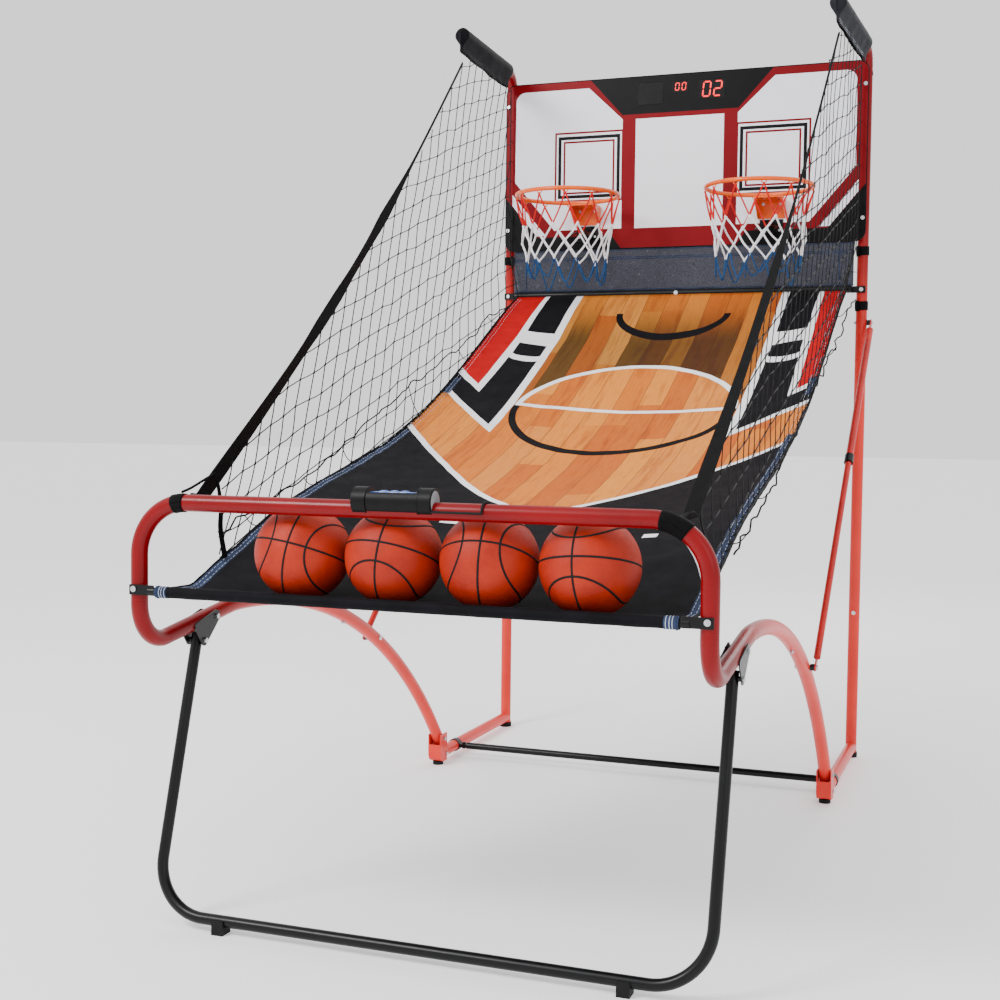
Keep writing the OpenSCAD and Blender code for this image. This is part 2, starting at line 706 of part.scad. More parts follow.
// A pin square to the arch at angle a, from h0 to h1 outside its centre line
module arch_pin(a, h0, h1, r, sides) {
  translate([side_x, post_y - arch_c[0], arch_c[1]]) rotate([90 - a, 0, 0])
    translate([0, 0, arch_rad + h0]) cylinder(h = h1 - h0, r = r, $fn = sides);
}

module rear_arch() {
  end_ang = pivot_ang + 16 / arch_rad * 180 / PI;
  color("firebrick") difference() {
    side(side_x) {
      bend(arch_c, arch_rad, seam_ang, end_ang, tube_r);
      bend(arch_c, arch_rad, seam_ang - seam_back, seam_ang + 0.1, spigot_r);
    }
    side(side_x) {
      bend(arch_c, arch_rad, seam_ang + 0.3, end_ang + 0.1, bore_r);
      bend(arch_c, arch_rad, seam_ang - seam_back - 0.1, seam_ang + 0.35, spigot_bore);
    }
    pin_x(side_x - 25, side_x + 25, fold_p[0], fold_p[1], hole_r);
    pin_x(side_x - 25, side_x + 25, brace_p[0], brace_p[1], hole_r);
    arch_pin(seam_ang - seam_back / 2, -25, 25, hole_r, $fn);
  }
}

// A short collar over a joint in the path, so that neighbouring pieces always meet
module link(p, a, r) {
  translate([p[0], p[1], 0]) rotate([0, 0, a]) translate([-1, 0, 0]) rotate([0, 90, 0]) cylinder(h = 2, r = r + 0.05);
}

module arch_path(r, a1, z1) {
  t = 0.4;
  u = [cos(fall_ang), -sin(fall_ang)];
  bend(arch_c, arch_rad, 90 + t / arch_rad * 60, a1, r);
  link([apex_d, apex_z], 0, r);
  bend(crest_c, crest_rad, 90 - fall_ang + t / crest_rad * 60, 90 - t / crest_rad * 60, r);
  link(crest_end, -fall_ang, r);
  seg(crest_end + t * u, loop_start - t * u, r);
  link(loop_start, -fall_ang, r);
  bend(loop_c, loop_bend_r, 270 - fall_ang + t, 360 - t, r);
  link([front_d, loop_c[1]], 90, r);
  seg([front_d, loop_c[1] + t], [front_d, z1], r);
}

module front_arch() {
  color("firebrick") difference() {
    side(side_x) {
      arch_path(tube_r, seam_ang - 0.003, bar_seam_z);
      seg([front_d, bar_seam_z - 1], [front_d, bar_seam_z + spigot_len], spigot_r);
    }
    side(side_x) {
      arch_path(bore_r, seam_ang + 0.1, bar_seam_z - 2);
      seg([front_d, bar_seam_z - 3], [front_d, bar_seam_z + spigot_len + 1], spigot_bore);
    }
    arch_pin(seam_ang - seam_back / 2, -25, 25, hole_r, $fn);
    pin_x(side_x - 25, side_x + 25, leg_pivot[0], leg_pivot[1], hole_r);
    pin_y(front_d - 25, front_d + 25, side_x, fabric_z + 4, hole_r);
  }
}

module bar_path(r, g) {
  c = bar_corner_r;
  seg([-side_x, bar_seam_z + 0.05 - g], [-side_x, bar_z - c], r);
  bend([-side_x + c, bar_z - c], c, 90, 180, r);
  seg([-side_x + c, bar_z], [side_x - c, bar_z], r);
  bend([side_x - c, bar_z - c], c, 0, 90, r);
  seg([side_x, bar_z - c], [side_x, bar_seam_z + 0.05 - g], r);
}

module front_bar() {
  color("firebrick") difference() {
    front(front_d) bar_path(tube_r, 0);
    front(front_d) bar_path(bore_r, 1);
    for (s = [-1, 1]) pin_y(front_d - 25, front_d + 25, s * side_x, fabric_z + 4, hole_r);
  }
}

module fabric_tube() {
  x0 = side_x - 30;
  d0 = front_d + tube_r + 0.1;
  color("dimgray") difference() {
    union() {
      translate([-x0, post_y - fabric_d, fabric_z]) rotate([0, 90, 0]) cylinder(h = 2 * x0, r = slide_r);
      both() block(x0 - 12, side_x + 10, d0, d0 + 3, fabric_z - 7, fabric_z + 12);
    }
    translate([-x0 + 14, post_y - fabric_d, fabric_z]) rotate([0, 90, 0]) cylinder(h = 2 * x0 - 28, r = slide_r - 1.2);
    for (s = [-1, 1]) pin_y(front_d, front_d + 40, s * side_x, fabric_z + 4, hole_r);
  }
}

module front_bolts() {
  a = seam_ang - seam_back / 2;
  color("silver") both() {
    arch_pin(a, -tube_r - 3.5, tube_r + 0.2, bolt_r, $fn);
    arch_pin(a, tube_r + 0.1, tube_r + 3.1, bolt_r * 1.9, $fn);
    arch_pin(a, -tube_r - 4.9, -tube_r - 0.1, bolt_r * 1.85, 6);
    pin_x(side_x - tube_r - 0.2, side_x + tube_r + 0.3, brace_p[0], brace_p[1], bolt_r);
    pin_x(side_x - tube_r - 3.1, side_x - tube_r - 0.1, brace_p[0], brace_p[1], bolt_r * 1.9);
    bolt_y(front_d - tube_r - 0.1, front_d + tube_r + 3.2, side_x, fabric_z + 4, bolt_r);
  }
}

module bar_straps() {
  c = bar_corner_r;
  color("black") both() difference() {
    union() {
      front(front_d) bend([side_x - c, bar_z - c], c, 60, 82, tube_r + 2.4);
      block(side_x - c + 20, side_x - c + 42, front_d - 34, front_d - 8, bar_z + 2, bar_z + 5);
    }
    front(front_d) bend([side_x - c, bar_z - c], c, 56, 86, tube_r + 0.1);
  }
}

module control_housing() {
  x0 = unit_x - 74.5;
  x1 = unit_x + 74.5;
  color("black") difference() {
    union() {
      pin_x(x0, x0 + 25, front_d, unit_z, unit_r);
      pin_x(x1 - 25, x1, front_d, unit_z, unit_r);
      difference() {
        pin_x(x0 + 24, x1 - 24, front_d, unit_z, unit_r - 1.5);
        block(x0 + 25, x1 - 25, front_d - 40, front_d + 40, unit_z + 16, unit_z + 40);
      }
    }
    pin_x(x0 - 1, x1 + 1, front_d, bar_z, tube_r + 0.05);
    for (k = [-1, 0, 1]) pin_z(unit_z + 6, unit_z + 60, unit_x + 20 * k, front_d + 3, 8);
  }
}

module button(k) {
  color("deepskyblue") pin_z(unit_z + 9, unit_z + 19, unit_x + 20 * k, front_d + 3, 7.6);
}

// Lead of the control unit, clipped along the bar and led into it through a grommet
module control_cable() {
  x0 = unit_x + 74.55;
  x1 = 150;
  rad = tube_r + 2.4;
  color("black") {
    pin_x(x0, x1, front_d + rad, bar_z, 2.1);
    translate([x1, post_y - front_d - rad, bar_z]) sphere(r = 2.1);
    translate([x1, post_y - front_d, bar_z]) rotate([0, -90, 0]) rotate([0, 0, -90])
      rotate_extrude(angle = 125) translate([rad, 0]) circle(r = 2.1);
    difference() {
      translate([x1, post_y - front_d, bar_z]) rotate([-35, 0, 0]) cylinder(h = tube_r + 4.6, r = 5);
      pin_x(x1 - 10, x1 + 10, front_d, bar_z, tube_r + 0.05);
    }
  }
}

// ---- folding leg ----

module leg_half(x_end) {
  c = leg_bend_r;
  xc = side_x - c;
  color("dimgray") difference() {
    translate([0, post_y - leg_base[0], leg_base[1]]) rotate([-leg_lean, 0, 0]) rotate([90, 0, 0]) {
      difference() {
        leg_path(x_end, leg_r, 0);
        leg_path(x_end, leg_r - 1.3, 1);
      }
    }
    pin_x(side_x - 25, side_x + 25, leg_at(leg_top_t + 14)[0], leg_at(leg_top_t + 14)[1], hole_r);
  }
}

function leg_at(t) = leg_base + t * leg_dir;

// Drawn in the plane of the leg: local X = x, local Y = up along the leg
module leg_path(x_end, r, g) {
  c = leg_bend_r;
  seg([side_x, -leg_top_t + g], [side_x, -leg_end_t + c], r);
  bend([side_x - c, -leg_end_t + c], c, 270, 360, r);
  seg([side_x - c, -leg_end_t], [x_end - g, -leg_end_t], r);
}

module leg_brackets() {
  p = leg_pivot;
  q = leg_at(leg_top_t + 14);
  gap = tube_r + 0.5;
  color("dimgray") both() {
    for (x = [side_x - gap, side_x + gap + 2.4]) {
      side(x) linear_extrude(height = 2.4) difference() {
        union() {
          translate([p[0], p[1]]) circle(r = 13);
          translate([q[0], q[1]]) circle(r = 11);
          translate([q[0] + 26, p[1] - 14]) circle(r = 8);
          polygon([[p[0] - 8, p[1] - 10], [p[0] + 3, p[1] + 12.6], [q[0] + 28, p[1] - 6.3],
            [q[0] + 30, p[1] - 20.9], [q[0] + 8, q[1] - 7.5], [q[0] - 6, q[1] - 9.2]]);
        }
        translate([p[0], p[1]]) circle(r = hole_r);
        translate([q[0], q[1]]) circle(r = hole_r);
      }
    }
    difference() {
      pin_x(side_x - gap + 0.05, side_x + gap - 0.05, q[0], q[1], 5);
      translate([0, post_y - leg_base[0], leg_base[1]]) rotate([-leg_lean, 0, 0]) rotate([90, 0, 0])
        seg([side_x, 0], [side_x, -200], leg_r + 0.05);
      pin_x(side_x - 25, side_x + 25, q[0], q[1], hole_r);
    }
  }
  color("silver") both() {
    bolt_x(side_x - gap - 2.5, side_x + gap + 2.5, p[0], p[1], bolt_r);
    bolt_x(side_x - gap - 2.5, side_x + gap + 2.5, q[0], q[1], bolt_r);
  }
}

module leg_feet() {
  color("black") both() difference() {
    block(leg_foot_x - 12, leg_foot_x + 12, leg_floor_d - 15, leg_floor_d + 15, 0, crossbar_z + 4);
    pin_x(leg_foot_x - 14, leg_foot_x + 14, leg_floor_d, crossbar_z, leg_r + 0.05);
  }
}

// ---- sliding braces ----

// Local X = along the brace from the upper pivot
module brace_frame() {
  side(brace_x) translate([0, brace_top_z, 0]) rotate([0, 0, brace_tilt]) children();
}

module tube_x(x0, x1, r) {
  translate([x0, 0, 0]) rotate([0, 90, 0]) cylinder(h = x1 - x0, r = r);
}

module brace_upper() {
  color("firebrick") brace_frame() difference() {
    union() {
      tube_x(34, brace_len, brace_r);
      translate([0, -10, -1.5]) cube([38, 20, 3]);
      translate([0, 0, -1.5]) cylinder(h = 3, r = 10);
    }
    tube_x(42, brace_len + 1, slide_r + 0.3);
    translate([0, 0, -5]) cylinder(h = 10, r = hole_r);
  }
  color("black") brace_frame() difference() {
    tube_x(brace_len - 24, brace_len + 4, brace_r + 2.2);
    tube_x(brace_len - 26, brace_len + 0.05, brace_r + 0.02);
    tube_x(brace_len, brace_len + 5, slide_r + 0.3);
  }
}

module brace_lower() {
  color("firebrick") brace_frame() difference() {
    union() {
      tube_x(brace_len - 55, brace_full - 30, slide_r);
      translate([brace_full - 34, -9, -1.5]) cube([34, 18, 3]);
      translate([brace_full, 0, -1.5]) cylinder(h = 3, r = 9);
    }
    tube_x(brace_len - 56, brace_full - 38, slide_r - 1.2);
    translate([brace_full, 0, -5]) cylinder(h = 10, r = hole_r);
  }
  brace_spacer(brace_p[0], brace_p[1], side_x + tube_r + 0.4);
  color("silver") {
    pin_x(side_x + tube_r + 0.4, brace_x + 1.65, brace_p[0], brace_p[1], bolt_r);
    pin_x(brace_x + 1.6, brace_x + 5.6, brace_p[0], brace_p[1], bolt_r * 1.9);
  }
}

// ---- balls ----

module ball(k) {
  color("chocolate") translate([ball_x0 + ball_step * k, post_y - ball_d, ball_z]) difference() {
    sphere(r = ball_r);
    sphere(r = ball_r - 3);
    translate([0, 0, ball_r - 6]) cylinder(h = 10, r = 1.2);
  }
}

// ---- parts ----

left() rear_post_lower();  // rear_post_lower_L
rear_post_lower();  // rear_post_lower_R
left() rear_post_upper();  // rear_post_upper_L
rear_post_upper();  // rear_post_upper_R
left() foot_tube();  // foot_tube_L
foot_tube();  // foot_tube_R
left() socket_bracket();  // socket_bracket_L
socket_bracket();  // socket_bracket_R
left() top_arm();  // top_arm_L
top_arm();  // top_arm_R
spreader_bar();
back_tube();
backboard();
score_housing();
display_window();
digit_modules();
score_pcb();
battery_cover();
batteries();
left() hoop();  // hoop_L
hoop();  // hoop_R
sensor_housings();
left() hoop_net();  // hoop_net_L
hoop_net();  // hoop_net_R
caps_and_feet();
frame_bolts();
mesh_skirt();
net_straps();
arm_sleeves();
left() side_net();  // side_net_L
side_net();  // side_net_R
ramp_fabric();
left() sensor_paddle();  // sensor_paddle_L
sensor_paddle();  // sensor_paddle_R
left() rear_arch();  // rear_arch_L
rear_arch();  // rear_arch_R
left() front_arch();  // front_arch_L
front_arch();  // front_arch_R
front_bar();
fabric_tube();
ball_pocket();
front_bolts();
bar_straps();
control_housing();
control_cable();
button(-1);  // button_1
button(0);  // button_2
button(1);  // button_3
left() leg_half(0.05);  // leg_half_L
leg_half(0.05);  // leg_half_R
leg_brackets();
leg_feet();
left() brace_upper();  // brace_upper_L
brace_upper();  // brace_upper_R
left() brace_lower();  // brace_lower_L
brace_lower();  // brace_lower_R
ball(0);  // ball_1
ball(1);  // ball_2
ball(2);  // ball_3
ball(3);  // ball_4
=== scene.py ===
import math
import random

import bmesh
import bpy
import numpy as np
from mathutils import Matrix, Vector, noise
from mathutils.geometry import delaunay_2d_cdt


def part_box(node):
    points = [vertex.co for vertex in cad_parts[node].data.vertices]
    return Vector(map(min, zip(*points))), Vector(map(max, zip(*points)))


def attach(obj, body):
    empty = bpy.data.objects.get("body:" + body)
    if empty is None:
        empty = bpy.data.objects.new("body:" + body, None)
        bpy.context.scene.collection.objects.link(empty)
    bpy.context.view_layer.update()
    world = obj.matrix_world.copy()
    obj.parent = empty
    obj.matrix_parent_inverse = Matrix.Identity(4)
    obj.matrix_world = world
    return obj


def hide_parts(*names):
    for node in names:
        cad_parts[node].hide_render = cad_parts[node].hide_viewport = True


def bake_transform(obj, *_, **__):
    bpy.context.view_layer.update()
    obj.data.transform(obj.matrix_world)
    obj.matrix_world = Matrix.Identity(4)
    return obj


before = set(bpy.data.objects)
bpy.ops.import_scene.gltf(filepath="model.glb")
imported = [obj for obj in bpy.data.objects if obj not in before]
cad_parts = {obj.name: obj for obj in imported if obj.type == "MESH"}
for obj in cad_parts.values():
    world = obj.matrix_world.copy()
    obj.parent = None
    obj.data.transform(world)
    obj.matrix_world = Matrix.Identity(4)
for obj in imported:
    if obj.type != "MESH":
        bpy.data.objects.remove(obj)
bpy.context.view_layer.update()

# Sizes are millimetres: x to the player's right, d forward of the rear posts, z up.
MM = 0.001


def middle(node):
    low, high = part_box(node)
    return [(a + b) / 2 / MM for a, b in zip(low, high)]


SIDES = ((-1, "L"), (1, "R"))
SIDE_X, POST_Y = middle("rear_post_upper_R")[:2]
BRACE_FOOT = (985.1, 420.1)  # lower bolt of a brace: distance in front of the posts, height
BRACE_TOP_Z = 1268
SPACER_END = 25.9  # outer face of a brace's spacers, from the plane of the side frame
SPREADER_Z = 29
CLOTH_HALF = 500
CLOTH_D0, CLOTH_D1 = 38.1, 2017
FRONT_TUBE = (2027, 651)
BOARD_FACE = 28
KEY_PITCH = 20
KEY_HOLE = 7.9
NET_LEAN = math.radians(1.6)
NET_X0 = 530.4
NET_REAR, NET_TOP = 41, 1997
STRAP_D0, STRAP_D1 = 463, 1910  # ends of the sloping edge of the side nets
HOOP_X, HOOP_D, HOOP_Z = 280, 235, 1632
HOOKS = 12
BAR_D, BAR_Z, TUBE_R = 2013.5, 817, 15.9
CORNER_X, CORNER_R = 440, 100  # where the front bar starts to bend down, and how tightly
UNIT_X, UNIT_Z, UNIT_R = -17.5, 832, 25


def at(x, d, z):
    return Vector((x, POST_Y - d, z))


def clip(v, low=0.0, high=1.0):
    return max(low, min(high, v))


def ease(v):
    v = clip(v)
    return v * v * (3 - 2 * v)


def hem_z(d):
    """Height of the ramp's side hems."""
    dip = 80 * max(0.0, math.sin(math.pi * clip((d - 40) / 1560))) ** 1.5
    return max(650, 1355 - 0.379 * (d - 40)) - dip


def sag(d):
    """How far the middle of the ramp hangs below its hems."""
    return 45 * min(1, (d - 38) / 240) * (1 - 0.69 * clip((d - 1560) / 300))


def strap_z(d):
    """Height of the sloping edge of the side nets."""
    run = d - STRAP_D0
    return 1984 - 0.8106 * run - 62 * math.sin(math.pi * max(0, run) / (STRAP_D1 - STRAP_D0))


def net_x(d):
    return NET_X0 - math.tan(NET_LEAN) * d


# ---- materials ----

def srgb(r, g, b):
    def linear(c):
        c /= 255
        return c / 12.92 if c <= 0.04045 else ((c + 0.055) / 1.055) ** 2.4
    return (linear(r), linear(g), linear(b), 1.0)


class Signal:
    """What one socket of a node gives out: arithmetic with it adds Math nodes."""

    def __init__(self, look, socket):
        self.look = look
        self.socket = socket

    def __add__(self, other):
        return self.look.math("ADD", self, other)

    def __sub__(self, other):
        return self.look.math("SUBTRACT", self, other)

    def __rsub__(self, other):
        return self.look.math("SUBTRACT", other, self)

    def __mul__(self, other):
        return self.look.math("MULTIPLY", self, other)

    def __truediv__(self, other):
        return self.look.math("DIVIDE", self, other)

    def __gt__(self, other):
        return self.look.math("GREATER_THAN", self, other)

    def __lt__(self, other):
        return self.look.math("LESS_THAN", self, other)

    def __abs__(self):
        return self.look.math("ABSOLUTE", self)


class Look:
    """One procedural material, built node by node."""

    def __init__(self, name, **values):
        self.material = bpy.data.materials.new(name)
        self.material.use_nodes = True
        self.tree = self.material.node_tree
        self.shader = self.tree.nodes["Principled BSDF"]
        self.place = self.node("ShaderNodeTexCoord", "Object", {})
        for key, value in values.items():
            self.shader.inputs[key.replace("_", " ")].default_value = value

    def node(self, kind, output, inputs, **settings):
        """A new node's output; inputs holds numbers, colours or signals by socket."""
        n = self.tree.nodes.new(kind)
        for key, value in settings.items():
            setattr(n, key, value)
        for key, value in inputs.items():
            if isinstance(value, Signal):
                self.tree.links.new(value.socket, n.inputs[key])
            else:
                n.inputs[key].default_value = value
        return Signal(self, n.outputs[output])

    def math(self, operation, *values):
        return self.node("ShaderNodeMath", 0, dict(enumerate(values)), operation=operation)

    def axis(self, index):
        """A coordinate in metres."""
        return self.node("ShaderNodeSeparateXYZ", index, {0: self.place})

    def noise(self, scale, detail=3.0, stretch=(1, 1, 1), rough=0.55):
        place = self.node("ShaderNodeMapping", 0, {"Vector": self.place, "Scale": stretch})
        return self.node("ShaderNodeTexNoise", "Fac",
                         {"Vector": place, "Scale": scale, "Detail": detail, "Roughness": rough})

    def cells(self, scale):
        return self.node("ShaderNodeTexVoronoi", "Distance", {"Vector": self.place, "Scale": scale})

    def chance(self, value):
        """A random number from 0 to 1 for each value."""
        return self.node("ShaderNodeTexWhiteNoise", "Value", {"W": value}, noise_dimensions="1D")

    def ramp(self, factor, stops):
        signal = self.node("ShaderNodeValToRGB", 0, {0: factor})
        marks = signal.socket.node.color_ramp.elements
        while len(marks) < len(stops):
            marks.new(0.5)
        for mark, (place, colour) in zip(marks, stops):
            mark.position = place
            mark.color = colour
        return signal

    def mix(self, factor, a, b, kind="MIX"):
        return self.node("ShaderNodeMix", 2, {0: factor, 6: a, 7: b}, data_type="RGBA", blend_type=kind)

    def step(self, value, low, high):
        return self.node("ShaderNodeMapRange", 0, {"Value": value, "From Min": low, "From Max": high},
                         interpolation_type="SMOOTHSTEP")

    def weave(self, per_metre):
        """Crossed threads, as a height."""
        along = self.math("SINE", self.axis(0) * (per_metre * math.tau))
        return along * self.math("SINE", (self.axis(1) - self.axis(2)) * (per_metre * 4.4))

    def wire(self, socket, signal):
        self.tree.links.new(signal.socket, self.shader.inputs[socket])

    def finish(self, colour, gloss, span, height=None, depth_mm=0.0, strength=1.0):
        """Wires the colour, the roughness over its span and the bump, and gives the material."""
        self.wire("Base Color", colour)
        self.wire("Roughness", self.node("ShaderNodeMapRange", 0,
                                         {"Value": gloss, "To Min": span[0], "To Max": span[1]}))
        if height:
            self.wire("Normal", self.node("ShaderNodeBump", 0, {
                "Height": height, "Distance": depth_mm * MM, "Strength": strength}))
        return self.material


def toned(look, base, dark, scale, detail=4.0):
    """A colour that drifts between two close tones."""
    return look.ramp(look.noise(scale, detail), [(0.32, srgb(*dark)), (0.68, srgb(*base))])


def painted_tube():
    """Deep red in front and high up, coral towards the floor at the rear: painted light, the coral copies how
    the light falls off on the red paint.
    """
    look = Look("red_paint", Coat_Weight=0.05, Coat_Roughness=0.14, Specular_IOR_Level=0.18)
    front = look.step(look.axis(1) * -1.0, 0.4, 0.86)
    high = look.step(look.axis(2), 1.05, 1.6)
    coral = toned(look, (224, 56, 46), (212, 47, 39), 9)
    deep = toned(look, (128, 1, 10), (110, 0, 6), 9)
    # Painted light: the front and high masks choose between the coral and the deep red by where a tube sits.
    colour = look.mix(look.math("MAXIMUM", front, high), coral, deep)
    return look.finish(colour, look.noise(60, 4), (0.24, 0.36), look.noise(420, 3), 0.12, 0.35)


def black_paint():
    look = Look("black_paint", Coat_Weight=0.06, Coat_Roughness=0.2, Specular_IOR_Level=0.2)
    return look.finish(toned(look, (9, 9, 11), (4, 4, 6), 14), look.noise(70, 4), (0.26, 0.42),
                       look.noise(500, 3), 0.1, 0.4)


def zinc():
    look = Look("zinc_plate", Metallic=1.0)
    return look.finish(toned(look, (214, 216, 220), (170, 172, 178), 120), look.noise(200, 4), (0.22, 0.42),
                       look.noise(900, 2), 0.06, 0.4)


def plastic(name, base, dark, low=0.38, high=0.5):
    look = Look(name, Specular_IOR_Level=0.14)
    return look.finish(toned(look, base, dark, 40), look.noise(90, 3), (low, high),
                       look.noise(1500, 2), 0.05, 0.5)


def rubber(name):
    look = Look(name, Specular_IOR_Level=0.2)
    return look.finish(toned(look, (20, 20, 21), (12, 12, 13), 50), look.noise(120, 3), (0.6, 0.78),
                       look.noise(1100, 3), 0.1, 0.5)


def cloth(name, base, dark, threads=620, depth=0.12):
    look = Look(name, Sheen_Weight=0.01, Sheen_Roughness=0.45, Specular_IOR_Level=0.08)
    return look.finish(toned(look, base, dark, 22, 5), look.noise(35, 4), (0.62, 0.8),
                       look.weave(threads), depth, 0.45)


def printed(name, base, dark):
    """Gloss print on board."""
    look = Look(name, Coat_Weight=0.03, Coat_Roughness=0.25, Specular_IOR_Level=0.1)
    return look.finish(toned(look, base, dark, 3.5, 3), look.noise(30, 4), (0.42, 0.56),
                       look.noise(260, 3), 0.05, 0.25)


def ahead(look):
    """Distance in metres in front of the rear posts."""
    return POST_Y * MM - look.axis(1)


def court_wood():
    """Printed floor boards on cloth: planks run from rear to front, darker above the centre circle."""
    plank_width, plank_length, edge_shift = 0.0625, 0.62, 5.016
    paper = srgb(255, 255, 255)
    look = Look("court_print", Specular_IOR_Level=0.18)
    across = (look.axis(0) + edge_shift) / plank_width
    column = look.math("FLOOR", across)
    lane = look.chance(column)
    row = look.math("FLOOR", look.axis(1) / plank_length + lane * 3.7)
    plank = look.chance(column * 7.31 + row * 3.17)
    tone = look.ramp(plank, [(0.0, srgb(228, 146, 52)), (0.3, srgb(220, 130, 40)), (0.55, srgb(206, 110, 28)),
                             (0.78, srgb(192, 92, 20)), (1.0, srgb(234, 156, 66))])
    grain = look.ramp(look.noise(9, 7, (5.5, 0.45, 0.45), 0.62),
                      [(0.36, srgb(176, 104, 54)), (0.5, paper), (0.75, srgb(255, 244, 226))])
    streak = look.ramp(look.noise(60, 5, (6, 0.35, 0.35), 0.6), [(0.3, srgb(196, 138, 92)), (0.55, paper)])
    wood = look.mix(0.35, look.mix(0.42, tone, grain, "MULTIPLY"), streak, "MULTIPLY")
    gap = look.step(abs(look.math("FRACT", across) - 0.5), 0.474, 0.492)
    wood = look.mix(gap * 0.7, wood, srgb(124, 62, 26))
    d = ahead(look)
    ex = (look.axis(0) - 0.014) / 0.292
    ey = (d - 0.672) / 0.258
    outside = ex * ex + ey * ey > 1.0
    zone = look.step(d, 0.02, 0.28) * (1.0 - look.step(d, 0.63, 0.69))
    depth = 0.95 - look.step(lane, 0.62, 0.7) * 0.45
    wood = look.mix(zone * outside * depth, wood, srgb(80, 98, 84), "MULTIPLY")
    top = 1.0 - look.step(d, 0.02, 0.30)
    wood = look.mix(top * 0.4, wood, srgb(206, 176, 104), "MULTIPLY")
    return look.finish(wood, look.noise(30, 4), (0.55, 0.72), look.weave(560), 0.12, 0.4)


def ball_cover():
    look = Look("ball_rubber", Specular_IOR_Level=0.22)
    return look.finish(toned(look, (172, 40, 10), (146, 28, 8), 16, 5), look.noise(80, 4), (0.42, 0.56),
                       look.cells(520), 0.5, 0.75)


def hoop_paint():
    look = Look("hoop_paint", Coat_Weight=0.15, Coat_Roughness=0.12, Specular_IOR_Level=0.3)
    return look.finish(toned(look, (240, 98, 0), (224, 82, 0), 25), look.noise(90, 4), (0.22, 0.34),
                       look.noise(500, 3), 0.1, 0.4)


def cord_look(name, base, dark):
    look = Look(name, Sheen_Weight=0.04, Sheen_Roughness=0.5, Specular_IOR_Level=0.2)
    return look.finish(toned(look, base, dark, 160), look.noise(300, 3), (0.6, 0.82),
                       look.noise(900, 2, (1, 1, 0.35)), 0.4, 0.7)


def mesh_cloth():
    """Fine grey mesh with worn flecks: the open cells are painted darker than the threads, painted shade seen
    through the mesh.
    """
    look = Look("skirt_mesh", Sheen_Weight=0.05, Sheen_Roughness=0.4, Specular_IOR_Level=0.2)
    holes = look.step(look.cells(430), 0.25, 0.55)
    # Painted shade: the darker grey of the open cells stands in for the shade behind the mesh.
    threads = look.mix(holes, srgb(34, 36, 42), srgb(66, 69, 80))
    worn = look.ramp(look.noise(75, 7, (1, 1, 1), 0.75), [(0.6, (0, 0, 0, 1)), (0.72, (1, 1, 1, 1))])
    return look.finish(look.mix(worn * 0.35, threads, srgb(168, 170, 176)), look.noise(50, 4), (0.6, 0.8),
                       holes, 0.3, 0.6)


def lit(name, colour):
    look = Look(name, Emission_Color=srgb(*colour), Emission_Strength=1.0, Roughness=0.4)
    look.wire("Base Color", toned(look, colour, colour, 40))
    return look.material


def smoked():
    look = Look("smoked_window", Coat_Weight=0.15, Coat_Roughness=0.05, Specular_IOR_Level=0.2)
    return look.finish(toned(look, (12, 10, 12), (6, 6, 8), 20), look.noise(60, 3), (0.1, 0.18))


def circuit():
    look = Look("solder_mask", Coat_Weight=0.3)
    traces = look.step(look.cells(180), 0.1, 0.3)
    return look.finish(look.mix(traces, srgb(18, 96, 52), srgb(10, 70, 36)), look.noise(80, 3), (0.3, 0.45))


def hardware(name, paint, bright, dark=None):
    """Painted metal whose plated bolts and rubber parts are told apart by where they sit.

    bright and dark take the look and give a mask: 1 on the bolts, 1 inside the rubber.
    """
    look = Look(name, Specular_IOR_Level=0.3)
    base = toned(look, paint, tuple(c * 0.85 for c in paint), 14)
    if dark:
        base = look.mix(dark(look), base, srgb(12, 12, 13))
    plated = bright(look)
    look.wire("Metallic", plated)
    return look.finish(look.mix(plated, base, srgb(206, 208, 212)), look.noise(80, 4), (0.26, 0.4),
                       look.noise(500, 3), 0.08, 0.35)


def off_plane(look):
    """Distance in metres from the plane of the nearer side frame."""
    return abs(look.axis(0)) - SIDE_X * MM


def within(value, low, high):
    return (value > low) * (value < high)


def clamp_zone(look):
    """The clamps of the spreader bar and the spacers at the top of the braces."""
    clamp = within(ahead(look), 0.418, 0.442) * (abs(look.axis(2) - SPREADER_Z * MM) < 0.0186)
    spacer = within(off_plane(look), 0.0161, SPACER_END * MM) * within(look.axis(2), 1.25, 1.29)
    return look.math("MAXIMUM", clamp, spacer)


def brace_foot(look):
    """1 close to the lower bolt of a brace."""
    y = ahead(look) - BRACE_FOOT[0] * MM
    z = look.axis(2) - BRACE_FOOT[1] * MM
    return look.math("SQRT", y * y + z * z) < 0.0085


def brace_rubber(look):
    """The spacer at the foot of a brace and the collar where its tubes slide."""
    spacer = brace_foot(look) * (off_plane(look) < SPACER_END * MM)
    run, fall = BRACE_FOOT[0] * MM, (BRACE_TOP_Z - BRACE_FOOT[1]) * MM
    length = math.hypot(run, fall)
    along = ahead(look) * (run / length) + (BRACE_TOP_Z * MM - look.axis(2)) * (fall / length)
    return look.math("MAXIMUM", spacer, within(along, 0.5755, 0.606))


def brace_bolt(look):
    return brace_foot(look) * (off_plane(look) > 0.0293)


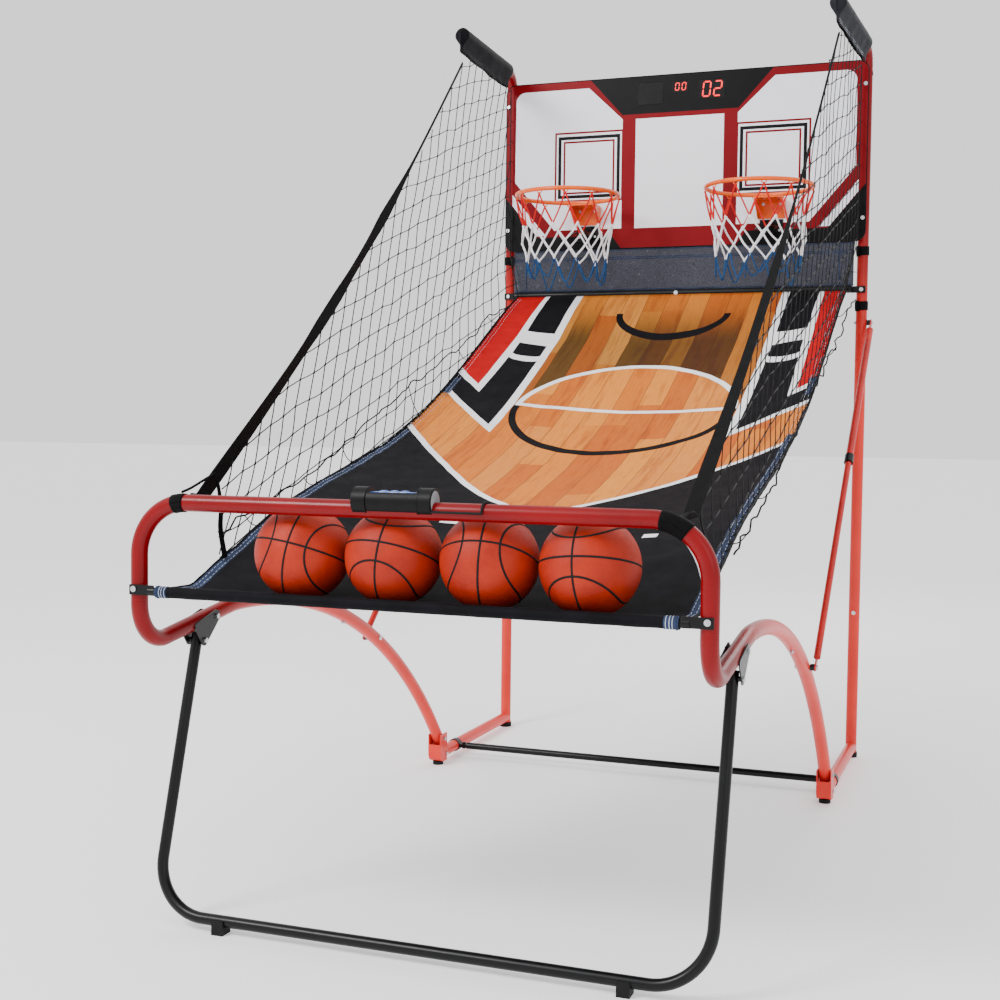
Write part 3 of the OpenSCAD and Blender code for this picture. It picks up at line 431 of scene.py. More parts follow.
RED = painted_tube()
BLACK = black_paint()
ZINC = zinc()
PLASTIC = plastic("black_plastic", (13, 13, 15), (7, 7, 8))
SILVER_DISC = plastic("grey_plastic", (142, 145, 150), (120, 123, 128), 0.3, 0.42)
RUBBER = rubber("rubber")
CLOTH_BLACK = cloth("black_cloth", (15, 14, 19), (8, 8, 11))
CLOTH_RED = cloth("red_print", (188, 1, 12), (170, 1, 9))
CLOTH_WHITE = cloth("white_print", (246, 246, 248), (234, 235, 240))
CLOTH_BACK = cloth("cloth_back", (34, 35, 41), (24, 25, 30))
HEM = cloth("blue_grey_hem", (52, 64, 92), (30, 38, 58))
THREAD = cloth("stitch_thread", (196, 202, 214), (168, 174, 188))
WOOD = court_wood()
WEBBING = cloth("webbing", (8, 8, 10), (4, 4, 5), threads=320, depth=0.35)
PRINT_RED = printed("print_red", (120, 0, 14), (108, 0, 10))
PRINT_WHITE = printed("print_white", (240, 241, 248), (232, 234, 243))
PRINT_BLACK = printed("print_black", (8, 7, 10), (4, 4, 6))
BOARD_RAW = plastic("board_edge", (62, 56, 52), (46, 41, 38), 0.6, 0.75)
HOOP = hoop_paint()
CORD_RED = cord_look("net_red", (206, 26, 18), (180, 16, 12))
CORD_WHITE = cord_look("net_white", (240, 241, 244), (214, 216, 222))
CORD_BLUE = cord_look("net_blue", (14, 70, 120), (10, 50, 94))
CORD_BLACK = cord_look("net_black", (18, 18, 20), (9, 9, 11))
SKIRT = mesh_cloth()
BALL = ball_cover()
SEAM = rubber("ball_seam")
LED_ON = lit("led_on", (255, 10, 8))
WINDOW = smoked()
CIRCUIT = circuit()
BLUE_KEY = plastic("blue_key", (46, 104, 196), (34, 86, 176), 0.2, 0.3)
CELL_WRAP = plastic("cell_wrap", (70, 74, 80), (54, 58, 64), 0.25, 0.35)
WHITE_PLASTIC = plastic("white_plastic", (232, 232, 232), (216, 216, 218))
BRACE = hardware("brace_paint", (206, 36, 32), brace_bolt, brace_rubber)
BRACKET = hardware("leg_bracket", (13, 13, 15), lambda look: abs(off_plane(look)) > 0.0189)
BOLTS = hardware("frame_hardware", (206, 208, 212), lambda look: 1.0 - clamp_zone(look), clamp_zone)


# ---- mesh building ----

def turns(n):
    """n angles round a circle."""
    return [math.tau * k / n for k in range(n)]


def new_object(name, data):
    obj = bpy.data.objects.new(name, data)
    bpy.context.scene.collection.objects.link(obj)
    return obj


class Form:
    """Collects tubes, strips, boxes and sheets in millimetres, then becomes one object."""

    def __init__(self):
        self.points = []
        self.faces = []
        self.slots = []

    def add(self, points, faces, slot=0):
        base = len(self.points)
        self.points.extend(points)
        self.faces.extend([tuple(base + i for i in f) for f in faces])
        self.slots.extend([slot] * len(faces))

    def skin(self, rows, slot=0, rings=True, loop=False):
        """Joins rows of points with quads. Rings close on themselves, and are capped unless they loop."""
        n, m = len(rows), len(rows[0])
        faces = []
        for i in range(n if loop else n - 1):
            here, there = i * m, (i + 1) % n * m
            for k in range(m if rings else m - 1):
                j = (k + 1) % m
                faces.append((here + k, here + j, there + j, there + k))
        if rings and not loop:
            faces += [tuple(reversed(range(m))), tuple(range((n - 1) * m, n * m))]
        self.add([p for row in rows for p in row], faces, slot)

    def tube(self, path, radius, sides=6, slot=0, closed=False):
        """A round cord or rod along points; radius may be one number or one for each point."""
        path = [Vector(p) for p in path]
        n = len(path)
        radii = [radius] * n if isinstance(radius, (int, float)) else radius
        across = None
        rings = []
        for i, p in enumerate(path):
            before = path[i - 1] if i or closed else p
            after = path[(i + 1) % n] if i < n - 1 or closed else p
            along = (after - before).normalized()
            if across is None:
                across = along.orthogonal().normalized()
            across = (across - along * across.dot(along)).normalized()
            other = along.cross(across)
            rings.append([p + radii[i] * (math.cos(a) * across + math.sin(a) * other) for a in turns(sides)])
        self.skin(rings, slot, loop=closed)

    def knot(self, place, below, above, radii, sides, slot=0):
        """A thick place in an upright cord."""
        self.tube([place - Vector((0, 0, below)), place, place + Vector((0, 0, above))], radii, sides, slot)

    def strip(self, path, across, width, thick, slot=0):
        """A flat band along points; across gives its wide direction at each point."""
        last = len(path) - 1
        rows = []
        for i, p in enumerate(path):
            along = (Vector(path[min(i + 1, last)]) - Vector(path[max(i - 1, 0)])).normalized()
            wide = Vector(across[i]) if isinstance(across, list) else Vector(across)
            wide = (wide - along * wide.dot(along)).normalized()
            up = along.cross(wide) * thick / 2
            half = wide * (width[i] if isinstance(width, list) else width) / 2
            rows.append([p - half - up, p + half - up, p + half + up, p - half + up])
        self.skin(rows, slot)

    def box(self, x0, x1, d0, d1, z0, z1, slot=0):
        corners = [at(x, d, z) for x in (x0, x1) for d in (d0, d1) for z in (z0, z1)]
        walls = [(0, 1, 3, 2), (4, 6, 7, 5), (0, 4, 5, 1), (2, 3, 7, 6), (0, 2, 6, 4), (1, 5, 7, 3)]
        self.add(corners, walls, slot)

    def turned(self, centre, axis, profile, sides=32, slot=0):
        """Revolves (distance along axis, radius) pairs; the ends close on the axis."""
        axis = Vector(axis).normalized()
        u = axis.orthogonal().normalized()
        v = axis.cross(u)
        spokes = [math.cos(a) * u + math.sin(a) * v for a in turns(sides)]
        self.skin([[Vector(centre) + axis * along + r * spoke for spoke in spokes]
                   for along, r in profile], slot)

    def grid(self, place, us, vs, slot=0):
        self.skin([[place(u, v) for v in vs] for u in us], slot, rings=False)

    def lay_print(self, place, flat, tris, slots):
        """Takes over a cut print, each of its points where place puts it."""
        self.points = [place(*p) for p in flat]
        self.faces = tris.tolist()
        self.slots = slots.tolist()

    def build(self, name, materials, body=None, smooth=True, sharp=40):
        mesh = bpy.data.meshes.new(name)
        mesh.from_pydata([tuple(p * MM for p in Vector(q)) for q in self.points], [], self.faces)
        for m in materials:
            mesh.materials.append(m)
        mesh.polygons.foreach_set("material_index", self.slots)
        mesh.polygons.foreach_set("use_smooth", [smooth] * len(self.faces))
        if smooth and sharp:
            mesh.set_sharp_from_angle(angle=math.radians(sharp))
        mesh.update()
        mesh.validate()
        obj = new_object(name, mesh)
        if body:
            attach(obj, body)
        return obj


def thicken(obj, thick_mm, back_slot=None, offset=-1.0):
    m = obj.modifiers.new("thickness", "SOLIDIFY")
    m.thickness = thick_mm * MM
    m.offset = offset
    if back_slot is not None:
        m.material_offset = back_slot
        m.material_offset_rim = back_slot
    return obj


def spread(low, high, step):
    n = max(1, round(abs(high - low) / step))
    return [low + (high - low) * i / n for i in range(n + 1)]


def smooth_path(points, per=6):
    """Catmull-Rom curve through given points."""
    p = [Vector(q) for q in points]
    p = [2 * p[0] - p[1]] + p + [2 * p[-1] - p[-2]]
    out = []
    for i in range(1, len(p) - 2):
        for k in range(per):
            t = k / per
            a, b, c, d = p[i - 1:i + 3]
            out.append(0.5 * (2 * b + (c - a) * t + (2 * a - 5 * b + 4 * c - d) * t * t
                              + (3 * b - a - 3 * c + d) * t ** 3))
    out.append(p[-2])
    return out


# ---- flat prints cut into areas of colour ----

def arc(cx, cy, rx, ry, a0, a1, n=40):
    return [(cx + rx * math.cos(math.radians(a0 + (a1 - a0) * i / n)),
             cy + ry * math.sin(math.radians(a0 + (a1 - a0) * i / n))) for i in range(n + 1)]


def stroke(path, width):
    """Outline of a line of the given width along the path."""
    left, right = [], []
    n = len(path)
    for i, (x, y) in enumerate(path):
        ax, ay = path[max(i - 1, 0)]
        bx, by = path[min(i + 1, n - 1)]
        length = math.hypot(bx - ax, by - ay)
        nx, ny = -(by - ay) / length * width / 2, (bx - ax) / length * width / 2
        left.append((x + nx, y + ny))
        right.append((x - nx, y - ny))
    return left + right[::-1]


def box2(x0, x1, y0, y1):
    return [(x0, y0), (x1, y0), (x1, y1), (x0, y1)]


def flip(outline):
    return [(-x, y) for x, y in outline]


def inside(outline, px, py):
    """Which of the points lie inside the outline."""
    result = np.zeros(len(px), bool)
    n = len(outline)
    for i in range(n):
        (x0, y0), (x1, y1) = outline[i], outline[(i + 1) % n]
        if y0 == y1:
            continue
        crosses = (y0 > py) != (y1 > py)
        result ^= crosses & (px < (x1 - x0) * (py - y0) / (y1 - y0) + x0)
    return result


def refine(outline, step):
    out = []
    for (x0, y0), (x1, y1) in zip(outline, outline[1:] + outline[:1]):
        n = max(1, math.ceil(math.hypot(x1 - x0, y1 - y0) / step))
        out += [(x0 + (x1 - x0) * i / n, y0 + (y1 - y0) * i / n) for i in range(n)]
    return out


def cut_print(border, areas, step, holes=(), base=0):
    """Triangles of the border's area with one slot each: later areas lie over earlier ones."""
    points, edges = [], []
    for outline in [border] + [a for a, s in areas] + list(holes):
        fine = refine(outline, step)
        start = len(points)
        points += fine
        edges += [(start + i, start + (i + 1) % len(fine)) for i in range(len(fine))]
    low = [min(p[k] for p in border) for k in (0, 1)]
    high = [max(p[k] for p in border) for k in (0, 1)]
    lattice = [(x + (step / 2 if j % 2 else 0), y) for j, y in enumerate(spread(low[1], high[1], step))
               for x in spread(low[0], high[0], step)]
    keep = inside(border, np.array([p[0] for p in lattice]), np.array([p[1] for p in lattice]))
    points += [p for p, k in zip(lattice, keep) if k]
    made = delaunay_2d_cdt([Vector(p) for p in points], edges, [], 0, 0.01)
    flat = np.array([tuple(v) for v in made[0]])
    tris = np.array([f for f in made[2] if len(f) == 3])
    centre = flat[tris].mean(axis=1)
    cx, cy = centre[:, 0], centre[:, 1]
    slots = np.full(len(tris), base)
    for outline, slot in areas:
        slots[inside(outline, cx, cy)] = slot
    wanted = inside(border, cx, cy)
    for hole in holes:
        wanted &= ~inside(hole, cx, cy)
    return flat, tris[wanted], slots[wanted]


# ---- carried-over CAD nodes ----

def both(names):
    """The left and the right node of each name."""
    return [name + side for name in names.split() for side in ("_L", "_R")]


NODE_LOOKS = (
    (RED, both("rear_post_lower rear_post_upper foot_tube socket_bracket top_arm rear_arch front_arch")),
    (RED, ["front_bar"]),
    (BLACK, both("leg_half") + ["spreader_bar", "back_tube", "fabric_tube"]),
    (PLASTIC, both("sensor_paddle") + ["score_housing", "battery_cover"]),
    (PLASTIC, ["sensor_housings", "control_housing"]),
    (RUBBER, ["caps_and_feet", "leg_feet", "control_cable"]),
    (BOARD_RAW, ["backboard"]),
    (WINDOW, ["display_window"]),
    (CIRCUIT, ["score_pcb"]),
    (CELL_WRAP, ["batteries"]),
    (HOOP, both("hoop")),
    (ZINC, ["front_bolts"]),
    (BOLTS, ["frame_bolts"]),
    (BRACKET, ["leg_brackets"]),
    (BRACE, both("brace_upper brace_lower")),
)


def finish_nodes():
    for look, names in NODE_LOOKS:
        for name in names:
            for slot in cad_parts[name].material_slots:
                slot.material = look


# ---- board, score window and digits ----

WINDOWS = ((-129, -51, 1925, 1991), (-22, 26, 1954, 1990), (58, 136, 1931, 1989))
LIT_BARS = {"0": "abcdef", "2": "abged"}


def rounded_box(x0, x1, y0, y1, r, n=8):
    return (arc(x1 - r, y1 - r, r, r, 0, 90, n) + arc(x0 + r, y1 - r, r, r, 90, 180, n)
            + arc(x0 + r, y0 + r, r, r, 180, 270, n) + arc(x1 - r, y0 + r, r, r, 270, 360, n))


def frame_line(cx, z0, z1, half, width):
    """The four sides of a target square as separate bars."""
    x0, x1 = cx - half, cx + half
    return [box2(x0, x1, z1 - width, z1), box2(x0, x1, z0, z0 + width),
            box2(x0, x0 + width, z0, z1), box2(x1 - width, x1, z0, z1)]


def board_areas():
    red, white, black = 0, 1, 2
    side_panel = ([(282, 1986)] + arc(486, 1956, 30, 30, 90, 0, 8)
                  + [(518, 1712), (388, 1560), (175, 1560), (175, 1886)])
    stripe = [(526, 1675), (526, 1641), (446, 1545), (416, 1545)]
    corner = [(570, 1690), (442, 1540), (205, 1540), (168, 1490), (570, 1490)]
    squares = ((109, 1645, 1857, 6, red), (98, 1656, 1844, 10, black), (81, 1669, 1829, 6, red))
    areas = [([(-287, 2020), (287, 2020), (176, 1899), (-176, 1899)], black),
             (box2(-134, 134, 1559, 1885), white)]
    for turn in (list, flip):
        areas += [(turn(side_panel), white), (turn(stripe), white), (turn(corner), black)]
        for half, z0, z1, width, ink in squares:
            areas += [(turn(bar), ink) for bar in frame_line(HOOP_X, z0, z1, half, width)]
    return areas


def board_print():
    border = rounded_box(-547.5, 547.5, 1500.5, 2009.5, 29.5)
    form = Form()
    form.lay_print(lambda x, z: at(x, BOARD_FACE + 0.25, z),
                   *cut_print(border, board_areas(), 60, [box2(*window) for window in WINDOWS]))
    form.build("board_print", [PRINT_RED, PRINT_WHITE, PRINT_BLACK], "rear_frame", sharp=0)
    rim = Form()
    edge = rounded_box(-548, 548, 1500, 2010, 30)
    rim.tube([at(x, BOARD_FACE - 0.4, z) for x, z in edge], 1.5, 6, closed=True)
    rim.build("board_edge_trim", [PRINT_BLACK], "rear_frame")


CAMERA = Vector((1.0242, POST_Y * MM - 4.3083, 0.9752))


def digit(form, sign, x0, z0, w, h, thick):
    """The lit bars of one seven-segment figure, leaning to the right."""
    lean = 0.1
    x1, mid, top = x0 + w, z0 + h / 2, z0 + h
    bars = {"a": ((x0, top), (x1, top)), "g": ((x0, mid), (x1, mid)), "d": ((x0, z0), (x1, z0)),
            "f": ((x0, top), (x0, mid)), "b": ((x1, top), (x1, mid)),
            "e": ((x0, mid), (x0, z0)), "c": ((x1, mid), (x1, z0))}
    for key in LIT_BARS[sign]:
        p, q = (Vector(end) for end in bars[key])
        along = (q - p).normalized()
        side = Vector((-along.y, along.x)) * thick / 2
        tip = along * thick / 2
        a, b = p + along * thick * 0.22, q - along * thick * 0.22
        outline = [a, a + tip + side, b - tip + side, b, b - tip - side, a + tip - side]
        points = [at(v.x + (v.y - z0) * lean, BOARD_FACE - depth, v.y)
                  for depth in (0.7, 0.2) for v in outline]
        walls = [(i, (i + 1) % 6, (i + 1) % 6 + 6, i + 6) for i in range(6)]
        form.add(points, [tuple(range(6)), tuple(range(11, 5, -1))] + walls)


def digits():
    form = Form()
    for signs, x0, pitch, *size in (("00", -15, 20, 1962, 11, 21, 2.8), ("02", 68, 33, 1939, 21, 42, 4.5)):
        for k, sign in enumerate(signs):
            digit(form, sign, x0 + pitch * k, *size)
    obj = form.build("score_digits", [LED_ON], "rear_frame", smooth=False)
    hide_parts("digit_modules")
    trim = Form()
    for window in WINDOWS:
        trim.tube([at(x, BOARD_FACE - 0.3, z) for x, z in rounded_box(*window, 2, 3)], 1.1, 6, closed=True)
    trim.build("window_trim", [PLASTIC], "rear_frame")


# ---- hoops and their nets ----

def net_radius(z):
    return 106 + 39 * (z - 1350) / 264


def hoop_net(side, name):
    """Twelve hooks; red cords to the first knots, white diamonds, blue ends."""
    rng = random.Random(12)
    cx = side * HOOP_X
    red, white, blue = 0, 1, 2

    def spot(step, z, wave=0.0):
        a = math.tau * (step + 0.5) / HOOKS
        r = net_radius(z) + wave
        return at(cx + side * r * math.cos(a), HOOP_D - r * math.sin(a), z)

    def level(shift, z, play, low, high):
        """A ring of points, each a little off its height and radius."""
        return [spot(k + shift, z + rng.uniform(-play, play), rng.uniform(low, high)) for k in range(HOOKS)]

    hooks = [spot(k, HOOP_Z - 13, 4) for k in range(HOOKS)]
    knots = level(0.5, 1541, 7, -9, 5)
    crossings = level(0, 1490, 6, -8, 5)
    lower = level(0.5, 1446, 6, -8, 6)
    form = Form()

    def cord(p, q, radius, slot, bow=2.5):
        mid = (p + q) / 2 + Vector((rng.uniform(-bow, bow), rng.uniform(-bow, bow), rng.uniform(-bow, 0)))
        form.tube(smooth_path([p, mid, q], 4), radius, 6, slot)

    for k in range(HOOKS):
        before = (k - 1) % HOOKS
        for knot in (knots[before], knots[k]):
            cord(hooks[k], knot, 2.5, red)
            cord(knot, crossings[k], 2.9, white)
        for knot in (lower[before], lower[k]):
            cord(crossings[k], knot, 2.9, white)
        form.knot(crossings[k], 5, 5, [2.6, 4.1, 2.6], 8, white)
        form.knot(knots[k], 6, 5, [2.5, 4.3, 2.3], 8, white)
        form.knot(lower[k], 6, 5, [2.2, 4.2, 2.6], 8, white)
        form.knot(hooks[k], 3, 3, [1.8, 3.4, 2.0], 7, red)
        drop = rng.uniform(1364, 1398)
        end = spot(k + 1.0 + rng.uniform(-0.12, 0.12), drop, rng.uniform(-12, 8))
        after = lower[(k + 1) % HOOKS]
        slack = Vector((0, 0, -9))
        swag = [lower[k], (lower[k] + end) / 2 + slack, end, (after + end) / 2 + slack, after]
        form.tube(smooth_path(swag, 5), 2.2, 6, blue)
        if k % 3 == 0:
            tail = lower[k] + Vector((rng.uniform(-6, 6), rng.uniform(-6, 6), -rng.uniform(34, 60)))
            bend = (lower[k] + tail) / 2 + Vector((4, 2, 0))
            form.tube(smooth_path([lower[k], bend, tail], 4), 1.8, 6, blue)
    obj = form.build("net_" + name, [CORD_RED, CORD_WHITE, CORD_BLUE], "rear_frame")
    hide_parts("hoop_net_" + name)


# ---- ramp ----

PRINT_X = 16


def lay(x, d):
    """The print hangs slightly to one side and askew."""
    return (x + PRINT_X, d + 0.04 * x * min(1, d / 600))


def ring(cx, cd, rx, rd, a0, a1, wide, deep):
    """Part of an oval line, wide mm across at the sides and deep mm at top and bottom."""
    return (arc(cx, cd, rx + wide / 2, rd + deep / 2, a0, a1)
            + arc(cx, cd, rx - wide / 2, rd - deep / 2, a1, a0))


def ramp_areas():
    black, wood, white, red, hem = range(5)
    low = [(v.x, v.y) for v in smooth_path(
        [(560, 838, 0), (400, 1020, 0), (268, 1165, 0), (150, 1290, 0), (0, 1392, 0)], 8)]
    bottom = low + flip(low[:-1])[::-1]
    court = [(303, 20), (303, 836), (560, 605)] + bottom + [(-560, 605), (-303, 836), (-303, 20)]
    areas = [(court, wood),
             (stroke(bottom, 17), white),
             (ring(4, 144, 161, 104, 0, 180, 19, 30), black),
             (ring(0, 674, 293, 257, 0, 180, 18, 30), black),
             (ring(0, 674, 293, 257, 180, 360, 15, 17), white),
             (box2(-300, 300, 657, 673), white)]
    lane_top = [(325, 330), (410, 326), (410, 388)] + arc(367, 388, 43, 12, 0, 180, 8) + [(325, 388)]
    lane_low = ([(325, 416)] + arc(367, 416, 43, 12, 180, 0, 8)
                + [(412, 420), (420, 634), (560, 512), (560, 590), (325, 806)])
    for turn in (list, flip):
        areas += [(turn([(303, 20), (560, 20), (560, 612), (303, 854)]), white),
                  (turn(box2(325, 410, 20, 258)), black),
                  (turn(lane_top), black),
                  (turn(lane_low), black),
                  (turn([(424, 20), (560, 20), (560, 478), (438, 594)]), red)]
    areas += [(box2(-172, -112, 1468, 1492), white), (box2(292, 322, 1540, 1560), white)]
    areas = [([lay(x, d) for x, d in outline], slot) for outline, slot in areas]
    for turn in (list, flip):
        areas += [(turn(box2(478, 520, d0, d1)), hem) for d0, d1 in ((560, 650), (905, 2030))]
    return areas


def ramp_wave(x, d):
    """Slack, creases and the pucker of the sewn hems."""
    calm = 0.15 + 0.85 * (1 - ease((d - 1700) / 120) * ease((470 - abs(x)) / 50))
    calm *= ease((d - 38) / 90)
    slack = 4.2 * noise.noise(Vector((x * 0.0045, d * 0.0032, 0.3)))
    crease = 2.2 * noise.noise(Vector((x * 0.017 + d * 0.006, d * 0.013, 4.1)))
    edge = ease((abs(x) - 425) / 75)
    pucker = 2.6 * edge * noise.noise(Vector((x * 0.01, d * 0.055, 8.2)))
    return calm * (slack + crease + pucker)


def ramp_z(x, d):
    share = 2 + 6 * ease((d - 1680) / 200)
    bowl = sag(d) * (1 - abs(x / CLOTH_HALF) ** share)
    return hem_z(d) - bowl + max(0, d - 1990) * 0.22 + 2.0 + ramp_wave(x, d)


def ramp_point(x, d, lift=0.0):
    return at(x, d, ramp_z(x, d) + lift)


def blend_front(obj):
    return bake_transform(obj, "rear_frame", "front_frame",
                    tuple(at(0, 60, 1345) * MM), tuple(at(0, 1780, 700) * MM))


def ramp_stitching():
    form = Form()
    for side, _ in SIDES:
        for x in (482, 492):
            for d in spread(60, 2000, 11):
                form.tube([ramp_point(side * x, d, 0.5), ramp_point(side * x, d + 6.5, 0.5)], 0.55, 4)
        form.tube([ramp_point(side * CLOTH_HALF, d, -0.8) for d in spread(CLOTH_D0, CLOTH_D1, 16)], 2.6, 8, 1)
    return form.build("ramp_stitching", [THREAD, CLOTH_BLACK], None)


def ramp():
    border = box2(-CLOTH_HALF, CLOTH_HALF, CLOTH_D0, CLOTH_D1)
    flat, tris, slots = cut_print(border, ramp_areas(), 15)
    form = Form()
    form.lay_print(ramp_point, flat, tris[:, ::-1], slots)
    looks = [CLOTH_BLACK, WOOD, CLOTH_WHITE, CLOTH_RED, HEM, CLOTH_BACK]
    obj = form.build("ramp_cloth", looks, None, sharp=0)
    thicken(obj, 1.5, len(looks))
    seams = ramp_stitching()
    for piece in (obj, seams):
        blend_front(piece)
    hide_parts("ramp_fabric", "ball_pocket")
    middle_line = [ramp_point(0, d) for d in spread(CLOTH_D0, CLOTH_D1, 16)]


def on_front_tube(x, a, r):
    """A point round the cloth tube, r from its axis."""
    return at(x, FRONT_TUBE[0] - r * math.cos(a), FRONT_TUBE[1] + r * math.sin(a))


def pocket_sleeve():
    """The cloth wrapped round the front tube, with a hem and three rows of stitches at each end."""
    form = Form()
    form.grid(lambda x, a: on_front_tube(x, a, 10.4 + 0.5 * noise.noise(Vector((x * 0.03, a * 0.9, 2.0)))),
              spread(-494, 494, 13), spread(-0.9, math.tau - 0.75, 0.26))
    wrap = form.build("pocket_sleeve", [CLOTH_BLACK, CLOTH_BACK], "front_frame", sharp=0)
    thicken(wrap, 1.0, 1)
    ends = Form()
    for side, _ in SIDES:
        for x, wide, slot in ((489, 1.5, 0), (483, 0.7, 1), (478, 0.7, 1), (472, 0.7, 1)):
            ends.tube([on_front_tube(side * x, a, 10.9) for a in spread(-0.9, 5.3, 0.3)], wide, 5, slot)
        ends.grid(lambda x, a: on_front_tube(side * x, a, 11.0), [468, 493], spread(-0.8, 5.2, 0.25), 2)
    trim = ends.build("sleeve_hems", [HEM, THREAD, HEM], "front_frame")


# ---- side nets, edge bands and sleeves ----

MESH = 63  # one side of a net square
ROW = (-math.cos(math.radians(17.5)), math.sin(math.radians(17.5)))
NET_CORNER = 1840
NET_FOOT = 1794


def in_net(d, z):
    if d < NET_REAR or z > NET_TOP or z < hem_z(d) + 3:
        return False
    if d > STRAP_D0 and z > strap_z(d) - 4:
        return False
    low = hem_z(NET_FOOT)
    return d < NET_FOOT + (NET_CORNER - NET_FOOT) * (z - low) / (strap_z(NET_CORNER) - low)


def net_side(d, z, seed):
    """Sideways place of the net: straight at the top, drawn in to the hem at the bottom."""
    to_hem = 1 - ease((z - hem_z(d)) / 170)
    billow = 9 * noise.noise(Vector((d * 0.0035, z * 0.0035, seed)))
    free = ease((z - hem_z(d)) / 150) * ease((d - NET_REAR) / 120) * ease((NET_TOP - z) / 120)
    return net_x(d) + (501 - net_x(d)) * to_hem + billow * free


def net_node(i, j, seed):
    """Where the knot of row j and column i sits, as distance and height."""
    u, v = i * MESH, j * MESH
    d = 1250 + u * ROW[0] - v * ROW[1]
    z = 1234 + u * ROW[1] - v * ROW[0]
    shake = Vector((d * 0.012, z * 0.012, seed))
    return d + 9 * noise.noise(shake), z + 9 * noise.noise(shake + Vector((5, 5, 5)))


def net_limit(a, b):
    """The last point inside the net on the way from a to b."""
    def between(t):
        return a[0] + (b[0] - a[0]) * t, a[1] + (b[1] - a[1]) * t

    low, high = 0.0, 1.0
    for _ in range(9):
        t = (low + high) / 2
        if in_net(*between(t)):
            low = t
        else:
            high = t
    return between(low)


def side_net(side, name):
    seed = 3.7 + side
    form = Form()

    def point(d, z):
        return at(side * net_side(d, z, seed), d, z)

    reach = range(-26, 27)
    nodes = {(i, j): net_node(i, j, seed) for i in reach for j in reach}
    for (i, j), a in nodes.items():
        for b in (nodes.get((i + 1, j)), nodes.get((i, j + 1))):
            if b is None or not (in_net(*a) or in_net(*b)):
                continue
            p = a if in_net(*a) else net_limit(b, a)
            q = b if in_net(*b) else net_limit(a, b)
            if math.hypot(p[0] - q[0], p[1] - q[1]) < 3:
                continue
            bow = 3.2 * noise.noise(Vector((p[0] * 0.05, q[1] * 0.05, seed + 9)))
            mid = ((p[0] + q[0]) / 2 + bow, (p[1] + q[1]) / 2 - abs(bow) * 0.6)
            form.tube([point(*p), point(*mid), point(*q)], 1.3, 4)
        if in_net(*a):
            form.knot(point(*a), 2.6, 2.6, [1.3, 2.6, 1.3], 5)
    form.tube([point(d, hem_z(d) + 4) for d in spread(NET_REAR, NET_FOOT, 24)], 1.5, 5)
    form.tube([point(43, z) for z in spread(hem_z(43) + 4, 1996, 30)], 1.5, 5)
    for z in range(1411, 1900, 61):
        form.tube([point(43, z), at(side * 527, 24, z)], 1.1, 4)
    for d in spread(70, NET_FOOT - 10, 31.5):
        form.tube([ramp_point(side * 492, d, 1.5), point(d + 9, hem_z(d + 9) + 4),
                   ramp_point(side * 492, d + 18, 1.5)], 0.9, 4)
    obj = form.build("side_net_cords_" + name, [CORD_BLACK], None, sharp=0)
    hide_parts("side_net_" + name)
    blend_front(obj)


def hem_lashing(side, name):
    """The thick cord that hangs outside the hem, with its ties."""
    lace = Form()
    drop = [(60, 1330), (160, 1300), (234, 1286), (330, 1232), (467, 1176), (560, 1152),
            (690, 1098), (813, 1062), (934, 1014), (1060, 966), (1205, 908), (1300, 868),
            (1396, 838), (1520, 806), (1647, 772), (1760, 742)]
    route = smooth_path([at(side * 520, d, z) for d, z in drop], 6)
    for p in route:
        wave = noise.noise(Vector((p.y * 0.016, p.z * 0.016, 2.0 + side)))
        p += Vector((side * (6 + 9 * wave), 0, 11 * noise.noise(Vector((p.y * 0.02, 7.0, side)))))
    lace.tube(route, 1.9, 6)
    for d in (234, 467, 813, 1205, 1396, 1647):
        a, b = ramp_point(side * 494, d, 1), min(route, key=lambda p: abs(POST_Y - p.y - d))
        lace.tube(smooth_path([a, (a + b) / 2 + Vector((side * 3, 0, -5)), b], 4), 1.2, 5)
    edge = lace.build("hem_lashing_" + name, [WEBBING], None)
    blend_front(edge)


